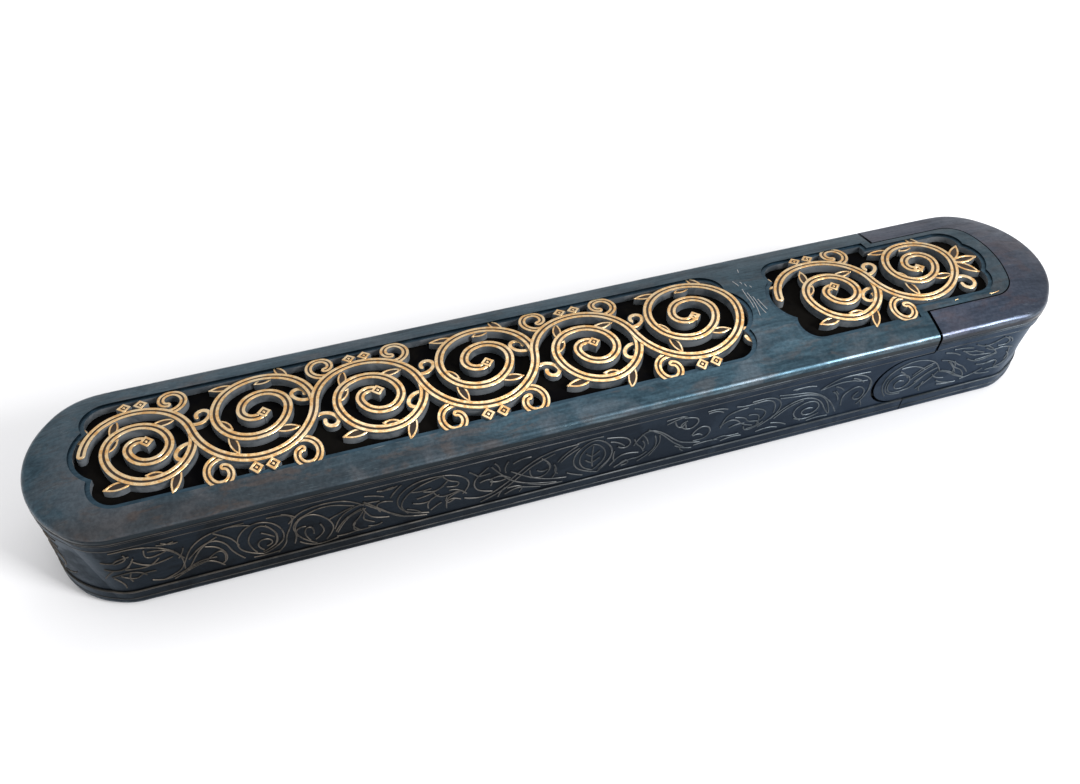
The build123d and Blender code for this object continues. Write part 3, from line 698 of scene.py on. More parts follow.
GOLD = make_gold()
GROOVE = make_worn("groove steel", (0.03, 0.022, 0.018), (0.05, 0.034, 0.024), 0.6, 0.45, 300.0, 0.00003)

# Each panel as (arches, stem, coils, curls, tendrils); its last coil is one stroke with its stem
LONG = lay_out_scroll(LONG_START, LONG_HALF_SPANS, LONG_COIL)
SHORT = lay_out_scroll(SHORT_START, SHORT_HALF_SPANS, SHORT_COIL)
STEMS = [LONG[1] + LONG[2][-1], SHORT[1] + SHORT[2][-1]]
COILS = LONG[2] + SHORT[2]
LOW_COILS = LONG[2][:-1] + SHORT[2][:-1]
CURLS = LONG[3] + SHORT[3]
TENDRILS = LONG[4] + SHORT[4]

CAMBER_GUIDE = make_camber_guide()


def inlay_strokes(name, strokes, level, half_width, groove):
    """Makes the steel face, the dark groove and the gold lines of a set of strokes."""
    face = begin_piece(name + "_face")
    for arcs in strokes:
        lay_band(face, arcs, half_width)
    drape(face, level)
    thicken(face, FACE_DEPTH)
    finish_piece(face, CUT, "sleeve")
    if groove:
        dark = begin_piece(name + "_groove")
        for arcs in strokes:
            lay_band(dark, arcs, groove + GROOVE_OVERLAP)
        drape(dark, level + GROOVE_RELIEF)
        thicken(dark, GROOVE_THICKNESS)
        finish_piece(dark, GROOVE, "sleeve")
    gold = begin_piece(name + "_gold")
    for arcs in strokes:
        if groove:
            lay_line(gold, arcs, groove, half_width - GOLD_MARGIN, round_end=True)
            lay_line(gold, arcs, GOLD_MARGIN - half_width, -groove)
        else:
            lay_band(gold, arcs, half_width - 2 * GOLD_MARGIN)
    drape(gold, level + GOLD_RELIEF)
    thicken(gold, GOLD_THICKNESS, GOLD_BEVEL)
    finish_piece(gold, GOLD, "sleeve")


def scatter(pattern, name, places):
    """Copies a flat pattern to places given as (x, y, angle, scale along, scale across) and joins the copies."""
    bpy.ops.object.mode_set(mode="OBJECT")
    copies = []
    for x, y, angle, along, across in places:
        copy = copy_of(pattern)
        copy.location = (x, y, 0)
        copy.rotation_euler = (0, 0, radians(angle))
        copy.scale = (along, across, 1)
        copies.append(copy)
    select_only(*copies)
    bpy.ops.object.transform_apply(location=True, rotation=True, scale=True)
    bpy.ops.object.join()
    piece = bpy.context.object
    piece.name = name
    bpy.data.objects.remove(pattern)
    bpy.ops.object.mode_set(mode="EDIT")
    return piece


def leaf_places():
    """Places of all leaves, as (x, y, angle, scale along, scale across)."""
    places = []
    for coil in COILS:
        side = 1 if coil[0][4] < 0 else -1
        for index, share, angle, length, width in LEAVES:
            x, y, heading = on_arc(coil[index], share)
            places.append((x, y, heading + side * angle, length / LEAF_LENGTH, width / LEAF_WIDTH))
    tip_x = SHORT[0][-1][3]
    places += [(tip_x, 0, angle, FINIAL[0] / LEAF_LENGTH, FINIAL[1] / LEAF_WIDTH) for angle in FINIAL[2]]
    return places


def bud_places():
    """Places of the square buds: at the coils' ends and in pairs on the crowns."""
    places = [(*on_arc(coil[-1], 1)[:2], 45, 1, 1) for coil in COILS]
    for middle, side, radius, _ in LONG[0] + SHORT[0][:1]:
        crown = radius * (1 - cos(radians(STEM_SLOPE))) + CROWN_BUD_RISE
        places += [(middle + shift, side * crown, 45, 1, 1) for shift in (-CROWN_BUD_SHIFT, CROWN_BUD_SHIFT)]
    return places


def make_leaves():
    """Gold outlines and dark hearts of the leaves."""
    radius = (LEAF_LENGTH**2 + LEAF_WIDTH**2) / (4 * LEAF_WIDTH)
    lean = degrees(asin(LEAF_LENGTH / 2 / radius))
    outline = begin_piece("leaf pattern")
    for side in (1, -1):
        edge = trail(0, 0, side * lean, [(radius, -side * 2 * lean)])
        lay_line(outline, edge, min(0, -side * LEAF_LINE), max(0, -side * LEAF_LINE))
    leaves = scatter(outline, "leaf_gold", leaf_places())
    drape(leaves, LEAF_LEVEL + GOLD_RELIEF)
    thicken(leaves, GOLD_THICKNESS, GOLD_BEVEL)
    finish_piece(leaves, GOLD, "sleeve")
    heart = begin_piece("leaf heart pattern")
    bpy.ops.mesh.primitive_circle_add(vertices=14, radius=1, fill_type="NGON")
    bpy.ops.transform.resize(value=(0.34 * LEAF_LENGTH, 0.5 * LEAF_WIDTH - LEAF_LINE, 1))
    bpy.ops.transform.translate(value=(LEAF_LENGTH / 2, 0, 0))
    hearts = scatter(heart, "leaf_hearts", leaf_places())
    drape(hearts, LEAF_LEVEL + GROOVE_RELIEF)
    thicken(hearts, GROOVE_THICKNESS)
    finish_piece(hearts, GROOVE, "sleeve")


def make_buds():
    """Square buds: a steel face, a dark bed, and a gold ring round a gold pip."""
    face = begin_piece("bud pattern")
    bpy.ops.mesh.primitive_plane_add(size=BUD_SIZE)
    faces = scatter(face, "bud_faces", bud_places())
    drape(faces, BUD_LEVEL)
    thicken(faces, FACE_DEPTH)
    finish_piece(faces, CUT, "sleeve")
    bed = begin_piece("bud bed pattern")
    bpy.ops.mesh.primitive_plane_add(size=BUD_SIZE - 2 * BUD_RING)
    beds = scatter(bed, "bud_beds", bud_places())
    drape(beds, BUD_LEVEL + GROOVE_RELIEF)
    thicken(beds, GROOVE_THICKNESS)
    finish_piece(beds, GROOVE, "sleeve")
    ring = begin_piece("bud ring pattern")
    bpy.ops.mesh.primitive_plane_add(size=BUD_SIZE - 2 * GOLD_MARGIN)
    bpy.ops.mesh.select_mode(type="FACE")
    bpy.ops.mesh.inset(thickness=BUD_RING)
    bpy.ops.mesh.delete(type="FACE")
    bpy.ops.mesh.select_mode(type="VERT")
    bpy.ops.mesh.primitive_plane_add(size=BUD_PIP)
    rings = scatter(ring, "bud_gold", bud_places())
    drape(rings, BUD_LEVEL + GOLD_RELIEF)
    thicken(rings, GOLD_THICKNESS, GOLD_BEVEL)
    finish_piece(rings, GOLD, "sleeve")


inlay_strokes("tendril", TENDRILS, TENDRIL_LEVEL, TENDRIL_HALF_WIDTH, 0)
make_leaves()
inlay_strokes("curl", CURLS, CURL_LEVEL, CURL_HALF_WIDTH, CURL_GROOVE)
inlay_strokes("coil", LOW_COILS, COIL_LEVEL, STROKE_HALF_WIDTH, STROKE_GROOVE)
inlay_strokes("stem", [backwards(arcs) for arcs in STEMS], STEM_LEVEL, STROKE_HALF_WIDTH, STROKE_GROOVE)
make_buds()
bpy.data.objects.remove(CAMBER_GUIDE)


# Engraved vine of the walls: each row is one line, as x,z points that it follows, in millimetres
SLEEVE_VINE = """
-97.5,7 -93.8,8.4 -92.3,12 -90.8,16.1 -87.9,19.2 -83.3,20.7 -79.2,20.7
-94,7.6 -91.2,9.7 -88.2,10.2 -86.2,8.9 -85,6.9
-91.5,12.4 -89.3,15.6 -86,17.4 -83.5,14.9 -82.7,10.7 -80.7,7.6
-88.2,10.3 -85.8,13.2 -84,11.6 -84.6,8.6
-76.8,7.4 -80.7,9.5 -81.8,14.1 -79.8,18.4 -76.7,19.9 -73.3,18.1 -71.5,13.6 -72.8,9.2 -76.8,7.4
-78,8.6 -79.7,12.4 -78.3,16.7 -76.5,18.6 -74.2,16.6 -73,12.8 -74,9.9
-76.5,8.9 -77.8,10.7 -76.8,13.1 -74.7,12.6 -74.3,10.6 -75.7,10.1
-74.7,20.4 -71.5,20.4 -69.3,18.7 -70.2,15.3 -71.5,12 -71.7,8.9 -73.7,6.6
-70.5,16.4 -68.7,19.4 -64.6,20.7 -59.8,20.4 -56.3,18.4 -54.7,16.4
-65.5,6.4 -68.3,9.1 -69.7,13.1 -68.8,16.6 -66.5,18.2 -64,16.9 -61.8,13.6 -61.3,9.9 -63.3,7.1
-66.7,8.1 -67.8,10.7 -67.2,13.6 -65.5,12.7 -65.8,10.4
-69,8.6 -67.3,6.4 -64,5.6 -60.8,6.7
-61.3,10.2 -60.2,13.9 -57.8,16.2 -55,17.2 -51.3,16.6
-60.8,8.6 -59.2,12.2 -56.7,14.6 -54.3,15.1
-56.7,11.1 -57.7,8.7 -56.5,6.9 -53.7,7.4
-55,15.7 -54.3,12.6 -52.2,10.2 -49.5,9.7
-54.7,17.7 -51.7,14.2 -49.2,10.7 -46.3,7.9 -41.2,6.7
-40.7,7.4 -44.7,8.6 -47.5,12.2 -47.5,16.4 -44.5,19.7 -40.2,20.7 -35.5,19.9 -32.2,17.4 -31.3,14.1 -33,11.6
-37.7,20.4 -36.3,17.6 -33.7,16.6 -34.3,14.7 -36.7,15.7
-36.3,18.1 -37.7,15.9 -39.8,14.9 -41.8,15.9
-39.5,14.7 -38.7,12.4 -36.2,12.2 -34,13.1
-36.5,12.2 -37.3,9.6 -35.3,11.1 -33.5,9.6
-44.2,12.4 -42.3,11.1 -40.3,11.9
-51.7,20.4 -49,19.4 -47.3,20.7
-51.3,12.4 -52.5,14.9 -50.7,16.4 -48.5,15.2
-99.2,19.7 -99.8,16.7 -97.5,16.4 -95.2,17.6
-102,16.4 -100.2,13.9 -97.5,13.6 -94.3,14.9
-107.8,14.7 -105.2,13.4 -102.8,15.1
-105.2,11.9 -102.7,9.4 -100.7,11.7 -98.3,11.2
-98.7,18.7 -95.8,18.4 -93.7,16.4 -92.3,13.4
-106.7,11.1 -104.7,8.9 -105,7.1
-95.8,20.7 -94.5,19.2 -92.5,19.7
-108,17.4 -105.8,16.7 -104.8,18.4 -102.3,18.6
-36.5,11.2 -37.2,8.2 -34.8,10.4
-32.7,9.6 -30,8.1 -26.5,8.6 -23.3,11.2 -20.5,14.1 -17.7,16.9 -14.5,18.9 -10.3,19.7 -6.8,19.6
-27.3,19.2 -30,16.7 -30.7,13.4 -29.2,10.6 -26.3,9.6
-26.7,19.1 -24.3,15.1 -22,11.9 -19,9.7 -15.5,8.1 -11.2,6.9
-15.3,17.6 -12.8,15.1 -13.2,11.7 -15.5,10.1 -17.7,11.6 -17.8,14.2
-29.2,14.1 -27.5,14.9 -26,13.7 -26.7,11.9
-12.2,14.1 -10.8,11.7 -12.3,9.1
-11.3,14.7 -9.8,17.4 -7,19.1
-1.5,6.9 -5.5,8.6 -7.8,12.4 -7.2,16.7 -3.3,20.2 0.2,17.6 1.8,13.6 1,9.7 -1.5,6.9
-2.8,8.2 -4.7,9.2 -6.3,12.4 -5.8,15.9 -3.3,18.7 -0.7,16.2 0.3,12.7 -1.2,9.4 -2.8,8.2
-3.2,17.6 -3.2,14.9 -3.2,12.2 -2.8,9.6
-3.2,13.6 -4.2,14.2 -4.7,15.2
-3.2,13.6 -2.2,14.2 -1.5,15.2
-3.2,11.2 -4.2,11.9 -4.7,12.7
-3.1,11.2 -2,11.9 -1.3,12.7
-0.3,19.2 2.7,18.6 5.3,17.1 6,14.7 4.2,13.4 2.8,14.9
1.5,8.1 2.8,10.7 5.5,11.6 8.2,10.6
2.7,6.9 5.7,8.9 8.8,8.4 10.3,10.2
6.7,13.7 7.8,16.6 10.2,18.4 13.5,16.2 16.8,12.2 19.5,9.7 23.7,8.6
11.7,15.7 12.8,12.2 11,8.9 8.3,7.1
8.7,14.9 10,13.2 9.2,11.1
18.2,19.6 21.5,19.2 22.3,16.6 20.5,14.7 18.3,15.7 17.5,17.7 19.2,18.4
21.2,12.2 22.3,14.9 25.2,14.2 26,11.6 24.3,9.4 21.8,9.7
14.2,18.7 16.3,19.9 18.8,20.1
17.3,9.6 19.2,7.7 21.8,7.1
28.3,12.1 28.7,15.7 30.8,17.4 34.3,17.7
31.5,14.9 34.3,14.2 35.2,11.9 38,11.6 38.5,9.4 35.3,9.2
26.7,7.9 29.2,8.9 31.3,7.9 33.7,8.1
24.2,19.1 26.7,19.7 28,18.2
-23.3,7.1 -20.8,8.9 -17.8,7.6 -15,6.6
-21.7,18.2 -20,19.6 -17.7,19.2
35,19.4 39.3,19.9 42.7,17.4 43.2,13.9 41.3,10.9 38.3,8.9
41.2,10.9 44,14.1 47.5,15.9 51.3,15.4 54.3,12.7 55.7,9.4 57.2,7.2
49.8,7.2 47.3,9.4 47.5,12.6 50,14.1 53,13.4 54.2,10.7 52.5,8.7 50.3,8.9 49.3,10.4 50.5,11.7 52.2,11.1
41.7,19.4 45.8,18.4 50.2,17.7 54.3,14.9 57.7,10.6 59.2,7.2
52.8,17.4 55,19.6 59.2,20.7 63.5,19.6 66.5,16.6 67,13.1 65.8,10.1
60.2,9.2 59.3,12.4 61.2,14.9 63.8,15.4 65.8,12.7 65,10.1 63.2,10.2 62.5,11.9 63.8,13.1
56.5,15.6 58.3,14.1 58.7,11.7
36,16.6 38.7,15.7 39.7,13.4 38.3,11.1 36.2,11.7
45.7,19.9 48.3,20.7 50.8,19.7
60.8,19.1 63,18.2 64.2,16.6
-105.8,21 -102.8,21.4 -99.2,20.7 -95.8,19 -93.4,16.3 -92.4,12.8 -92.8,9.3
-96.7,20.3 -95.4,19.5 -93.3,20.2
-91.9,17.1 -92.2,15.5 -93.3,13.8
-103.3,19.6 -102.8,18.2 -103.9,17.1 -105.6,16.8
-101.7,17.7 -102.2,16 -103.3,14.9
-96.9,15.7 -98.1,14.1 -99.7,13.4 -101.7,13.5 -103.9,14.1
-106.9,11.6 -105,12.7 -102.8,12.8 -100.8,11.6 -100.3,10.5
-103.1,12.4 -103.9,10.7 -103.3,9.3
-108.3,10.7 -107.5,12.8 -106.1,14.1
-99.7,8 -98.1,7 -95.8,7.1 -93.3,8.2 -90.8,10.2 -88.3,11 -86.1,10.7
-95.4,6.4 -92.8,8 -90.6,9.3 -87.8,10.1
-92.2,8.5 -90.8,11.3 -89.2,14.6 -87.2,16.8 -85,18.2
-85.6,19.6 -83.3,17.4 -81.9,15.5 -81.2,13
-87.8,15.5 -86.1,14.9 -84.7,13.2 -83.9,10.7 -84.4,8.2 -85.6,7.4
-82.2,20.5 -79.7,20.2 -78.1,19.1
-75.3,18 -73.6,15.5 -73.1,12.4 -73.9,9.6 -76.7,8.2
-76.4,15.5 -75,14.3 -73.9,13
-71.7,20.5 -70,19.7 -68.9,18.2
-70,8.5 -69.2,11.3 -69.9,14.1 -69.2,16.3 -67.8,17.7
-68.6,17.1 -65.6,19.1 -62.2,19.6 -59.2,18.5 -56.7,17.1
-62.2,14.3 -60,15.7 -57.2,16.8
-61.1,9.1 -59.7,12.1 -57.5,14.3 -55.3,15.5
-69.2,10.7 -69.6,12.8 -68.3,14.3 -67.2,13.8
-64.2,13.5 -63.3,11.3 -64.2,9.1 -65.6,8
-54.4,16.6 -51.7,13.5 -48.9,10.7 -46.1,8.2
-55,14.3 -55.8,12.4 -57.2,10.7 -57.5,9.1 -55.8,7.1
-54.4,14.1 -55.3,11.8 -54.4,10.2 -52.8,9.1
-54.2,8 -52.2,7.1 -51.1,8.2
-54.4,19.6 -52.2,19.1 -50.3,17.8
-51.1,19.9 -49.7,20.3 -48.1,20.6
-48.9,16.8 -47.8,19.1 -46.4,20.5
-36.9,20.2 -41.1,19.3 -44.7,17.1 -46.6,14.1 -46.7,11.3 -45.3,9.1
-43.3,13.8 -40.8,14.1 -38.6,15.5 -37.2,16.3
-45.6,10.7 -43.3,9.6 -42.5,8.2
-44.4,16.8 -42.2,16 -40,16.6
-36.1,14.1 -33.9,14.2 -32.2,11.3
-38.3,13.5 -40,12.7 -41.1,10.7 -40.8,9.1
-36.7,7.4 -36.9,10.2 -35.6,12.1 -33.6,12.8
-61.1,7.1 -58.9,6.7 -56.7,7.4
-78.9,7 -76.1,6.6 -73.3,7.1
-40.3,8.2 -38.9,9.6 -37.8,10.2
-31.7,19.1 -30.3,17.7 -29.4,16.3 -26.9,16.8
-26,20.1 -24.7,18.5 -24.7,16.6
-22.8,19.6 -24,17.4 -23.3,15.5
-27.2,14.3 -25.3,15.1 -23.3,14.3 -22.2,13
-26.9,13.5 -25,12.4 -23.3,13.2
-22.2,15.5 -19.4,12.8 -16.1,10.3 -12.2,8.4 -8.9,7.8
-28.9,6.4 -25,8 -21.7,11 -18.9,14.1 -16.1,16.6 -12.2,18.2
-16.1,13.5 -15,11.8 -13.6,13
-13.9,15.5 -12.8,14.1 -13.3,12.4
-10.6,14.3 -8.9,16.7 -6.4,18.1
-11.7,13.2 -12.2,11.3 -11.1,10.2
-24.9,6.8 -24.4,8.8 -23.3,9.9
-22.8,9.3 -20.6,9.5 -18.9,8.2 -19.9,6.7
-18.1,9.1 -16.1,7.8 -13.3,6.6 -9.7,6.4
-8.9,9.5 -7.2,8 -5,7
-0.8,18.4 1,16.3 1.8,13.5 1,10.2 -1.1,8
0.8,17.4 3.1,16.7 4.4,14.6
2.2,13.5 1.8,11.3 2.5,9.3
3.9,7.7 5,9 6.1,8.2 5.8,7.1 4.4,7
6.7,16.3 7.2,14.1 8.9,12.4 9.4,10.7
8.3,17.4 10,15.5 10.3,13
9.7,18.5 12.8,16.3 15,13.4 17.2,10.5 19.7,8.2
12.8,15.5 13.4,13.2 12.5,10.5 11.1,8.2
16.1,19.1 16.7,16.8 18.3,16.3 18.9,17.8
18.9,17.1 19.3,15.1
21.4,11.8 23.1,12.4 23.9,11.2
18.9,9.1 18.4,7.7 19.7,6.7
22.2,7.8 25.6,8.4 28.3,7.8
28.1,12.7 29.4,14.5 32.2,14 33.9,11.3 36.7,10.2
30.6,11.3 32.2,12.4 34.4,11.8
34.4,10.7 34.7,8.5 37.8,9 39.4,10.7
31.1,19.1 33.9,18 36.7,19
29.2,6.8 31.7,7.8 34.4,7.1
23.9,19.9 26.7,20.3 28.9,19.1
-7.2,19.9 -4.4,20.6 -1.1,20.2
13.9,20.2 16.1,20.6 18.3,20.3
35.6,18.5 38.1,19 40.6,18 41.7,15.6 41.6,13.2
35,14.5 37.2,14.5 38.3,12.4 37.8,10.2
42.2,18.2 45.6,17.4 49.4,17.1 53.3,15.5 55.6,12.8 56.9,9.6 57.5,7.1
42.2,10.7 44.2,12.8 46.4,14.5 48.9,15.1
47.9,8.5 49.4,7.5 52.2,7.3 54.4,8.5
41.7,9.1 44.4,8.5 46.1,7
38.3,7 41.7,8 43.9,6.7
53.3,17.5 56.1,18.4 58.9,18.6 61.7,18
60.6,18.5 62.2,17.4 65,17
66.1,16.6 66.8,13.5 65.9,10.2 64.6,8.1
56.7,17.4 58.3,16.8 59.4,15.2
57.2,15.7 58.3,14.1
65.4,9.2 66.2,7.1
51.7,6.3 54.4,7 57.2,6.4
45,20.2 48.3,20.5 51.1,19.6
58.3,20.3 61.7,20.5 65,20.1
"""
CAP_VINE = """
72.2,8.4 70.3,11.4 70.3,15.7 72.8,18.7 76.7,20.1 81,19.1 84.3,16.6 85.7,13.4
78.5,9.4 75,8.4 72.2,10.2 71.7,13.7 73.8,15.9 76.8,14.9 78.2,12.2 76.7,10.1 74.5,10.2 73.5,12.1 74.7,13.7 76,12.9
78.3,9.2 80.5,11.4 81.8,14.1 84.5,15.1
78,12.7 80,15.1 82.8,16.7
85.3,13.6 83.5,10.4 80.7,8.2
85.5,13.4 88.3,12.4 91,9.7 94.5,8.1
87.5,16.6 89.3,13.6 92.7,11.6 93.7,9.1
84.8,17.6 88.3,16.6 90.2,13.9 89.7,11.1
92.5,15.7 95,13.6 98.5,14.1 101,15.2
96.7,18.4 99.2,16.4 101.8,17.6 105,16.2
100.8,21.1 103.2,19.9 102.7,17.6 100,18.2
93.3,20.7 95.8,18.9 98.5,19.4 100.8,20.9
103.8,14.9 105.7,12.7 104.7,10.2 102.2,9.4
98.3,11.6 100.5,12.6 102.7,11.9 102.2,9.9
96.7,9.1 98.7,7.7 101.7,7.7
86,9.6 88.3,7.7 91.3,7.4
90,19.4 92,18.1 94.3,18.2
71.4,14.9 71.1,12.4 71.9,9.9 73.9,8.2 76.4,8.2
73.9,18 76.1,18.2 78.9,17.4 81.1,15.5
73.9,17.1 75.8,15.7 76.8,13.8
78.1,14.1 80.3,16.7 82.9,17.3
79.4,11.3 82.2,14 83.9,14.9
82.2,10.7 81.2,8.2 82.2,7
83.9,12.8 85,10.7 87.8,10.2
86.1,13.5 88.9,12.4 91.1,10.2 93.9,8.5
87.2,16.3 89.4,14.1 90.6,11.3
88.9,16 90,14.5 92.8,12.8 94.4,10.2
90.6,19.1 92.8,16.8 96.1,16.2 98.9,15.7
93.9,18.2 96.7,16.8
101.9,20.7 103.6,20.3 103.9,18.5
96.1,19.6 98.9,18 100.6,15.6
95,14.5 97.8,14.5 100.6,15.4
96.1,12.4 98.9,11.3 101.7,12.4
93.3,7.8 96.7,8.4 98.9,10.1
100,9 102.2,9.5 104.4,8.6
103.9,16.3 105,14.1 104.4,11.8
85,20.2 87.8,19.6 89.7,18
87.2,20.7 90.6,20.5 92.8,19.6
86.7,8 89.4,7.1 92.2,7.3
"""

# Mouldings above and below the vine: from height, to height, how far they stand proud
MOULDINGS = (
    (24.6, 24.8, 0.08),
    (24.05, 24.15, 0.04),
    (22.25, 22.4, 0.05),
    (4.95, 5.1, 0.05),
    (2.6, 2.8, 0.08),
    (2.1, 2.2, 0.04),
)
LINE_RADIUS = 0.00018

# Engraved strokes of the top between the windows, and gold left on the tongue's near edge: x,y points
TOP_STROKES = """
42.6,6 42.4,3.6 42.5,1.2 42.3,-1
43.1,4.3 43.2,2.2 43.1,0 42.8,-2.4 42.5,-3.8
43.7,2.6 43.8,0.4 43.8,-1.7 44.2,-3.4
44.4,1.4 44.6,-0.6 45,-2.4
43.4,8.8 43.5,7.9
44.1,7.7 44.1,6.7
44.9,6.6 45,5.9
45.4,14.1 45,12.7
41.9,9.6 42.3,8.4 42.4,7.4
"""
TONGUE_TRACES = """
98.4,-12.2 99.6,-12.5 101,-12.1
89.2,-11.9 90.1,-11.8
"""
TRACE_RADIUS = 0.0001

# Sprig of the round ends: y,z points of one half, the other half is its mirror image
END_SPRIG = """
0,6.6 0,10 0,14 0,17.6
0.6,8.4 2.6,9.2 3.9,11.6 3.2,14.4 1.2,15.6
0.6,10.4 1.9,10.9 2.5,12.4 2,13.9 0.8,14.2
1,16.4 3.4,16.2 5.2,17.6 4.6,19.6 2.6,19.6 2.4,18.2
0.4,18.2 1,19.8 0.6,21
4.6,9 6.8,8 9.4,9 10.4,12 9.2,15 6.8,15.6 5.6,13.6 6.6,11.8 8.2,12.4
5.4,17 8,17.8 10.6,16.8
6.4,19.8 9,19.2 11.4,19.8
2,6.8 4.4,6.6 6.8,6.4
8.4,7.2 10.6,7.6 12,9.4
"""

# How deep raised lines sit in their wall, and where their paths start, well outside the box, in metres
LINE_SINK = 0.00002
BESIDE_Y = -0.03
BEYOND_X = 0.13
ABOVE_Z = 0.05


def read_lines(table):
    """Lines of a table, as lists of points of two numbers."""
    return [[tuple(map(float, point.split(","))) for point in row.split()] for row in table.strip().splitlines()]


def draw_paths(name, lines, place):
    """Smooth paths through the air beside a wall; place turns a point of a line into three numbers."""
    bpy.ops.object.select_all(action="DESELECT")
    bpy.ops.curve.primitive_nurbs_path_add()
    paths = bpy.context.object
    paths.name = name
    paths.data.splines.clear()
    for line in lines:
        path = paths.data.splines.new("NURBS")
        path.points.add(len(line) - 1)
        for point, (along, up) in zip(path.points, line):
            point.co = (*place(along, up), 1)
        path.order_u = 3
        path.use_endpoint_u = True
        path.resolution_u = 5
    paths.location = (0, 0, 0)
    bpy.ops.object.transform_apply(location=True, rotation=True, scale=True)
    bpy.ops.object.convert(target="MESH")
    return bpy.context.object


def raise_lines(paths, wall, axis, against=False, radius=LINE_RADIUS):
    """Lays paths on a wall along an axis, or against it, and turns them into raised round lines."""
    wrap = paths.modifiers.new("lay", "SHRINKWRAP")
    wrap.target = wall
    wrap.wrap_method = "PROJECT"
    wrap.use_project_x = axis == "X"
    wrap.use_project_y = axis == "Y"
    wrap.use_project_z = axis == "Z"
    wrap.use_positive_direction = not against
    wrap.use_negative_direction = against
    wrap.offset = LINE_SINK
    bpy.ops.object.modifier_apply(modifier=wrap.name)
    bpy.ops.object.convert(target="CURVE")
    paths.data.bevel_depth = radius
    paths.data.bevel_resolution = 1
    paths.data.use_fill_caps = True
    bpy.ops.object.convert(target="MESH")


def mirror_across(piece, name):
    """Copy of a piece on the far side of the box."""
    copy = copy_of(piece)
    copy.name = name
    bpy.ops.transform.mirror(constraint_axis=(False, True, False), orient_type="GLOBAL")
    bpy.ops.object.transform_apply(location=True, rotation=True, scale=True)
    bpy.ops.object.mode_set(mode="EDIT")
    bpy.ops.mesh.select_all(action="SELECT")
    bpy.ops.mesh.normals_make_consistent(inside=False)
    bpy.ops.object.mode_set(mode="OBJECT")
    return copy


def finish_lines(piece, body, finish=RELIEF):
    """Gives raised lines their finish and lets them ride on their body."""
    select_only(piece)
    bpy.ops.object.shade_smooth()
    dress(piece, finish)
    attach(piece, body)


def slice_wall(name, wall, low, high, proud):
    """Fine moulding round the box: a slice of a wall between two heights, made to stand proud of it."""
    moulding = copy_of(NODES[wall])
    moulding.name = name
    bpy.ops.object.parent_clear(type="CLEAR_KEEP_TRANSFORM")
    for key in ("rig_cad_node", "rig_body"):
        if key in moulding:
            del moulding[key]
    bpy.ops.object.mode_set(mode="EDIT")
    bpy.ops.mesh.select_all(action="SELECT")
    bpy.ops.mesh.remove_doubles(threshold=1e-6)
    bpy.ops.mesh.bisect(plane_co=(0, 0, low / 1000), plane_no=(0, 0, 1), use_fill=True, clear_inner=True)
    bpy.ops.mesh.select_all(action="SELECT")
    bpy.ops.mesh.bisect(plane_co=(0, 0, high / 1000), plane_no=(0, 0, 1), use_fill=True, clear_outer=True)
    bpy.ops.mesh.select_all(action="SELECT")
    bpy.ops.mesh.normals_make_consistent(inside=False)
    bpy.ops.transform.shrink_fatten(value=proud / 1000)
    bpy.ops.object.mode_set(mode="OBJECT")
    return moulding


for wall, body, prefix in (("case_walls", "sleeve", "sleeve"), ("cap_walls", "tray", "drawer")):
    slices = [slice_wall("moulding", wall, low, high, proud) for low, high, proud in MOULDINGS]
    select_only(*slices)
    bpy.ops.object.join()
    slices[0].name = prefix + "_mouldings"
    finish_lines(slices[0], body)

for name, table, wall, body in (
    ("sleeve_vine", SLEEVE_VINE, "case_walls", "sleeve"),
    ("drawer_vine", CAP_VINE, "cap_walls", "tray"),
):
    near = draw_paths(name + "_near", read_lines(table), lambda along, up: (along / 1000, BESIDE_Y, up / 1000))
    raise_lines(near, NODES[wall], "Y")
    far = mirror_across(near, name + "_far")
    finish_lines(near, body)
    finish_lines(far, body)

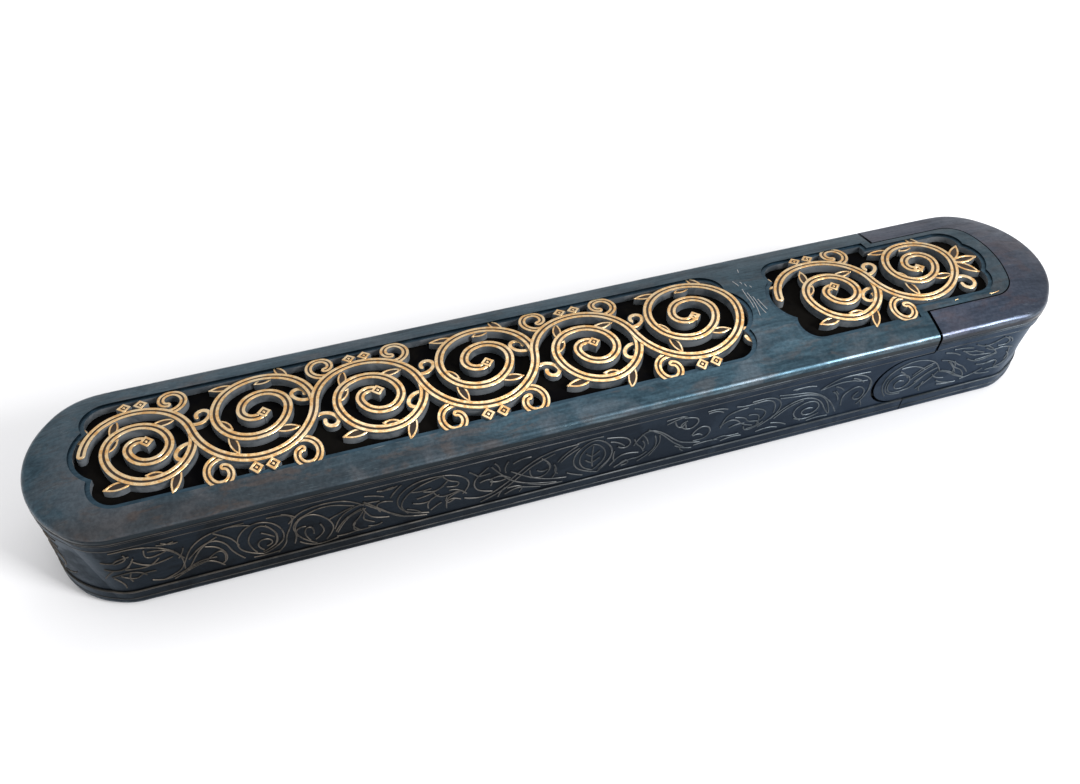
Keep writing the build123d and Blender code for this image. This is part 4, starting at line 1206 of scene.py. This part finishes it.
for name, end, wall, body in (
    ("sleeve_sprig", -1, "case_walls", "sleeve"),
    ("drawer_sprig", 1, "cap_walls", "tray"),
):
    half = draw_paths(name, read_lines(END_SPRIG), lambda across, up: (end * BEYOND_X, across / 1000, up / 1000))
    raise_lines(half, NODES[wall], "X", end > 0)
    select_only(half, mirror_across(half, name + "_other"))
    bpy.ops.object.join()
    finish_lines(half, body)

for name, table, finish, slot in (
    ("top_strokes", TOP_STROKES, RELIEF, "relief_steel"),
    ("tongue_gold", TONGUE_TRACES, GOLD, "gold_inlay"),
):
    strokes = draw_paths(name, read_lines(table), lambda along, across: (along / 1000, across / 1000, ABOVE_Z))
    raise_lines(strokes, NODES["top_plate"], "Z", True, TRACE_RADIUS)
    finish_lines(strokes, "sleeve", finish)


def lay_floor():
    """Wide pale floor under the box."""
    bpy.ops.mesh.primitive_plane_add(size=6)
    floor = bpy.context.object
    floor.name = "floor"
    finish, tree, shader = new_finish("white floor")
    shader.inputs["Base Color"].default_value = (0.865, 0.865, 0.88, 1)
    shader.inputs["Roughness"].default_value = 0.9
    shader.inputs["Specular IOR Level"].default_value = 0.0
    floor.data.materials.append(finish)


def light_room():
    """Even white surroundings and plain colours."""
    world = bpy.data.worlds.new("studio")
    bpy.context.scene.world = world
    world.use_nodes = True
    tree = world.node_tree
    tree.nodes["Background"].inputs["Color"].default_value = (1, 1, 1, 1)
    tree.nodes["Background"].inputs["Strength"].default_value = 0.9
    bpy.context.scene.view_settings.view_transform = "Standard"


def add_softbox(name, place, aim, size, power):
    """Soft lamp at a place, turned to what it aims at."""
    bpy.ops.object.light_add(type="AREA", location=place)
    lamp = bpy.context.object
    lamp.name = name
    lamp.data.shape = "RECTANGLE"
    lamp.data.size, lamp.data.size_y = size
    lamp.data.energy = power
    lamp.rotation_euler = (Vector(aim) - Vector(place)).to_track_quat("-Z", "Y").to_euler()


aim_camera()
lay_floor()
light_room()
add_softbox("overhead softbox", place=(0.2, 0.26, 0.6), aim=(0.0, 0, 0), size=(0.5, 0.4), power=0.85)
add_softbox("arris softbox", place=(0.5, -0.56, 0.43), aim=(0.08, -0.02, 0.03), size=(0.24, 0.34), power=8.0)
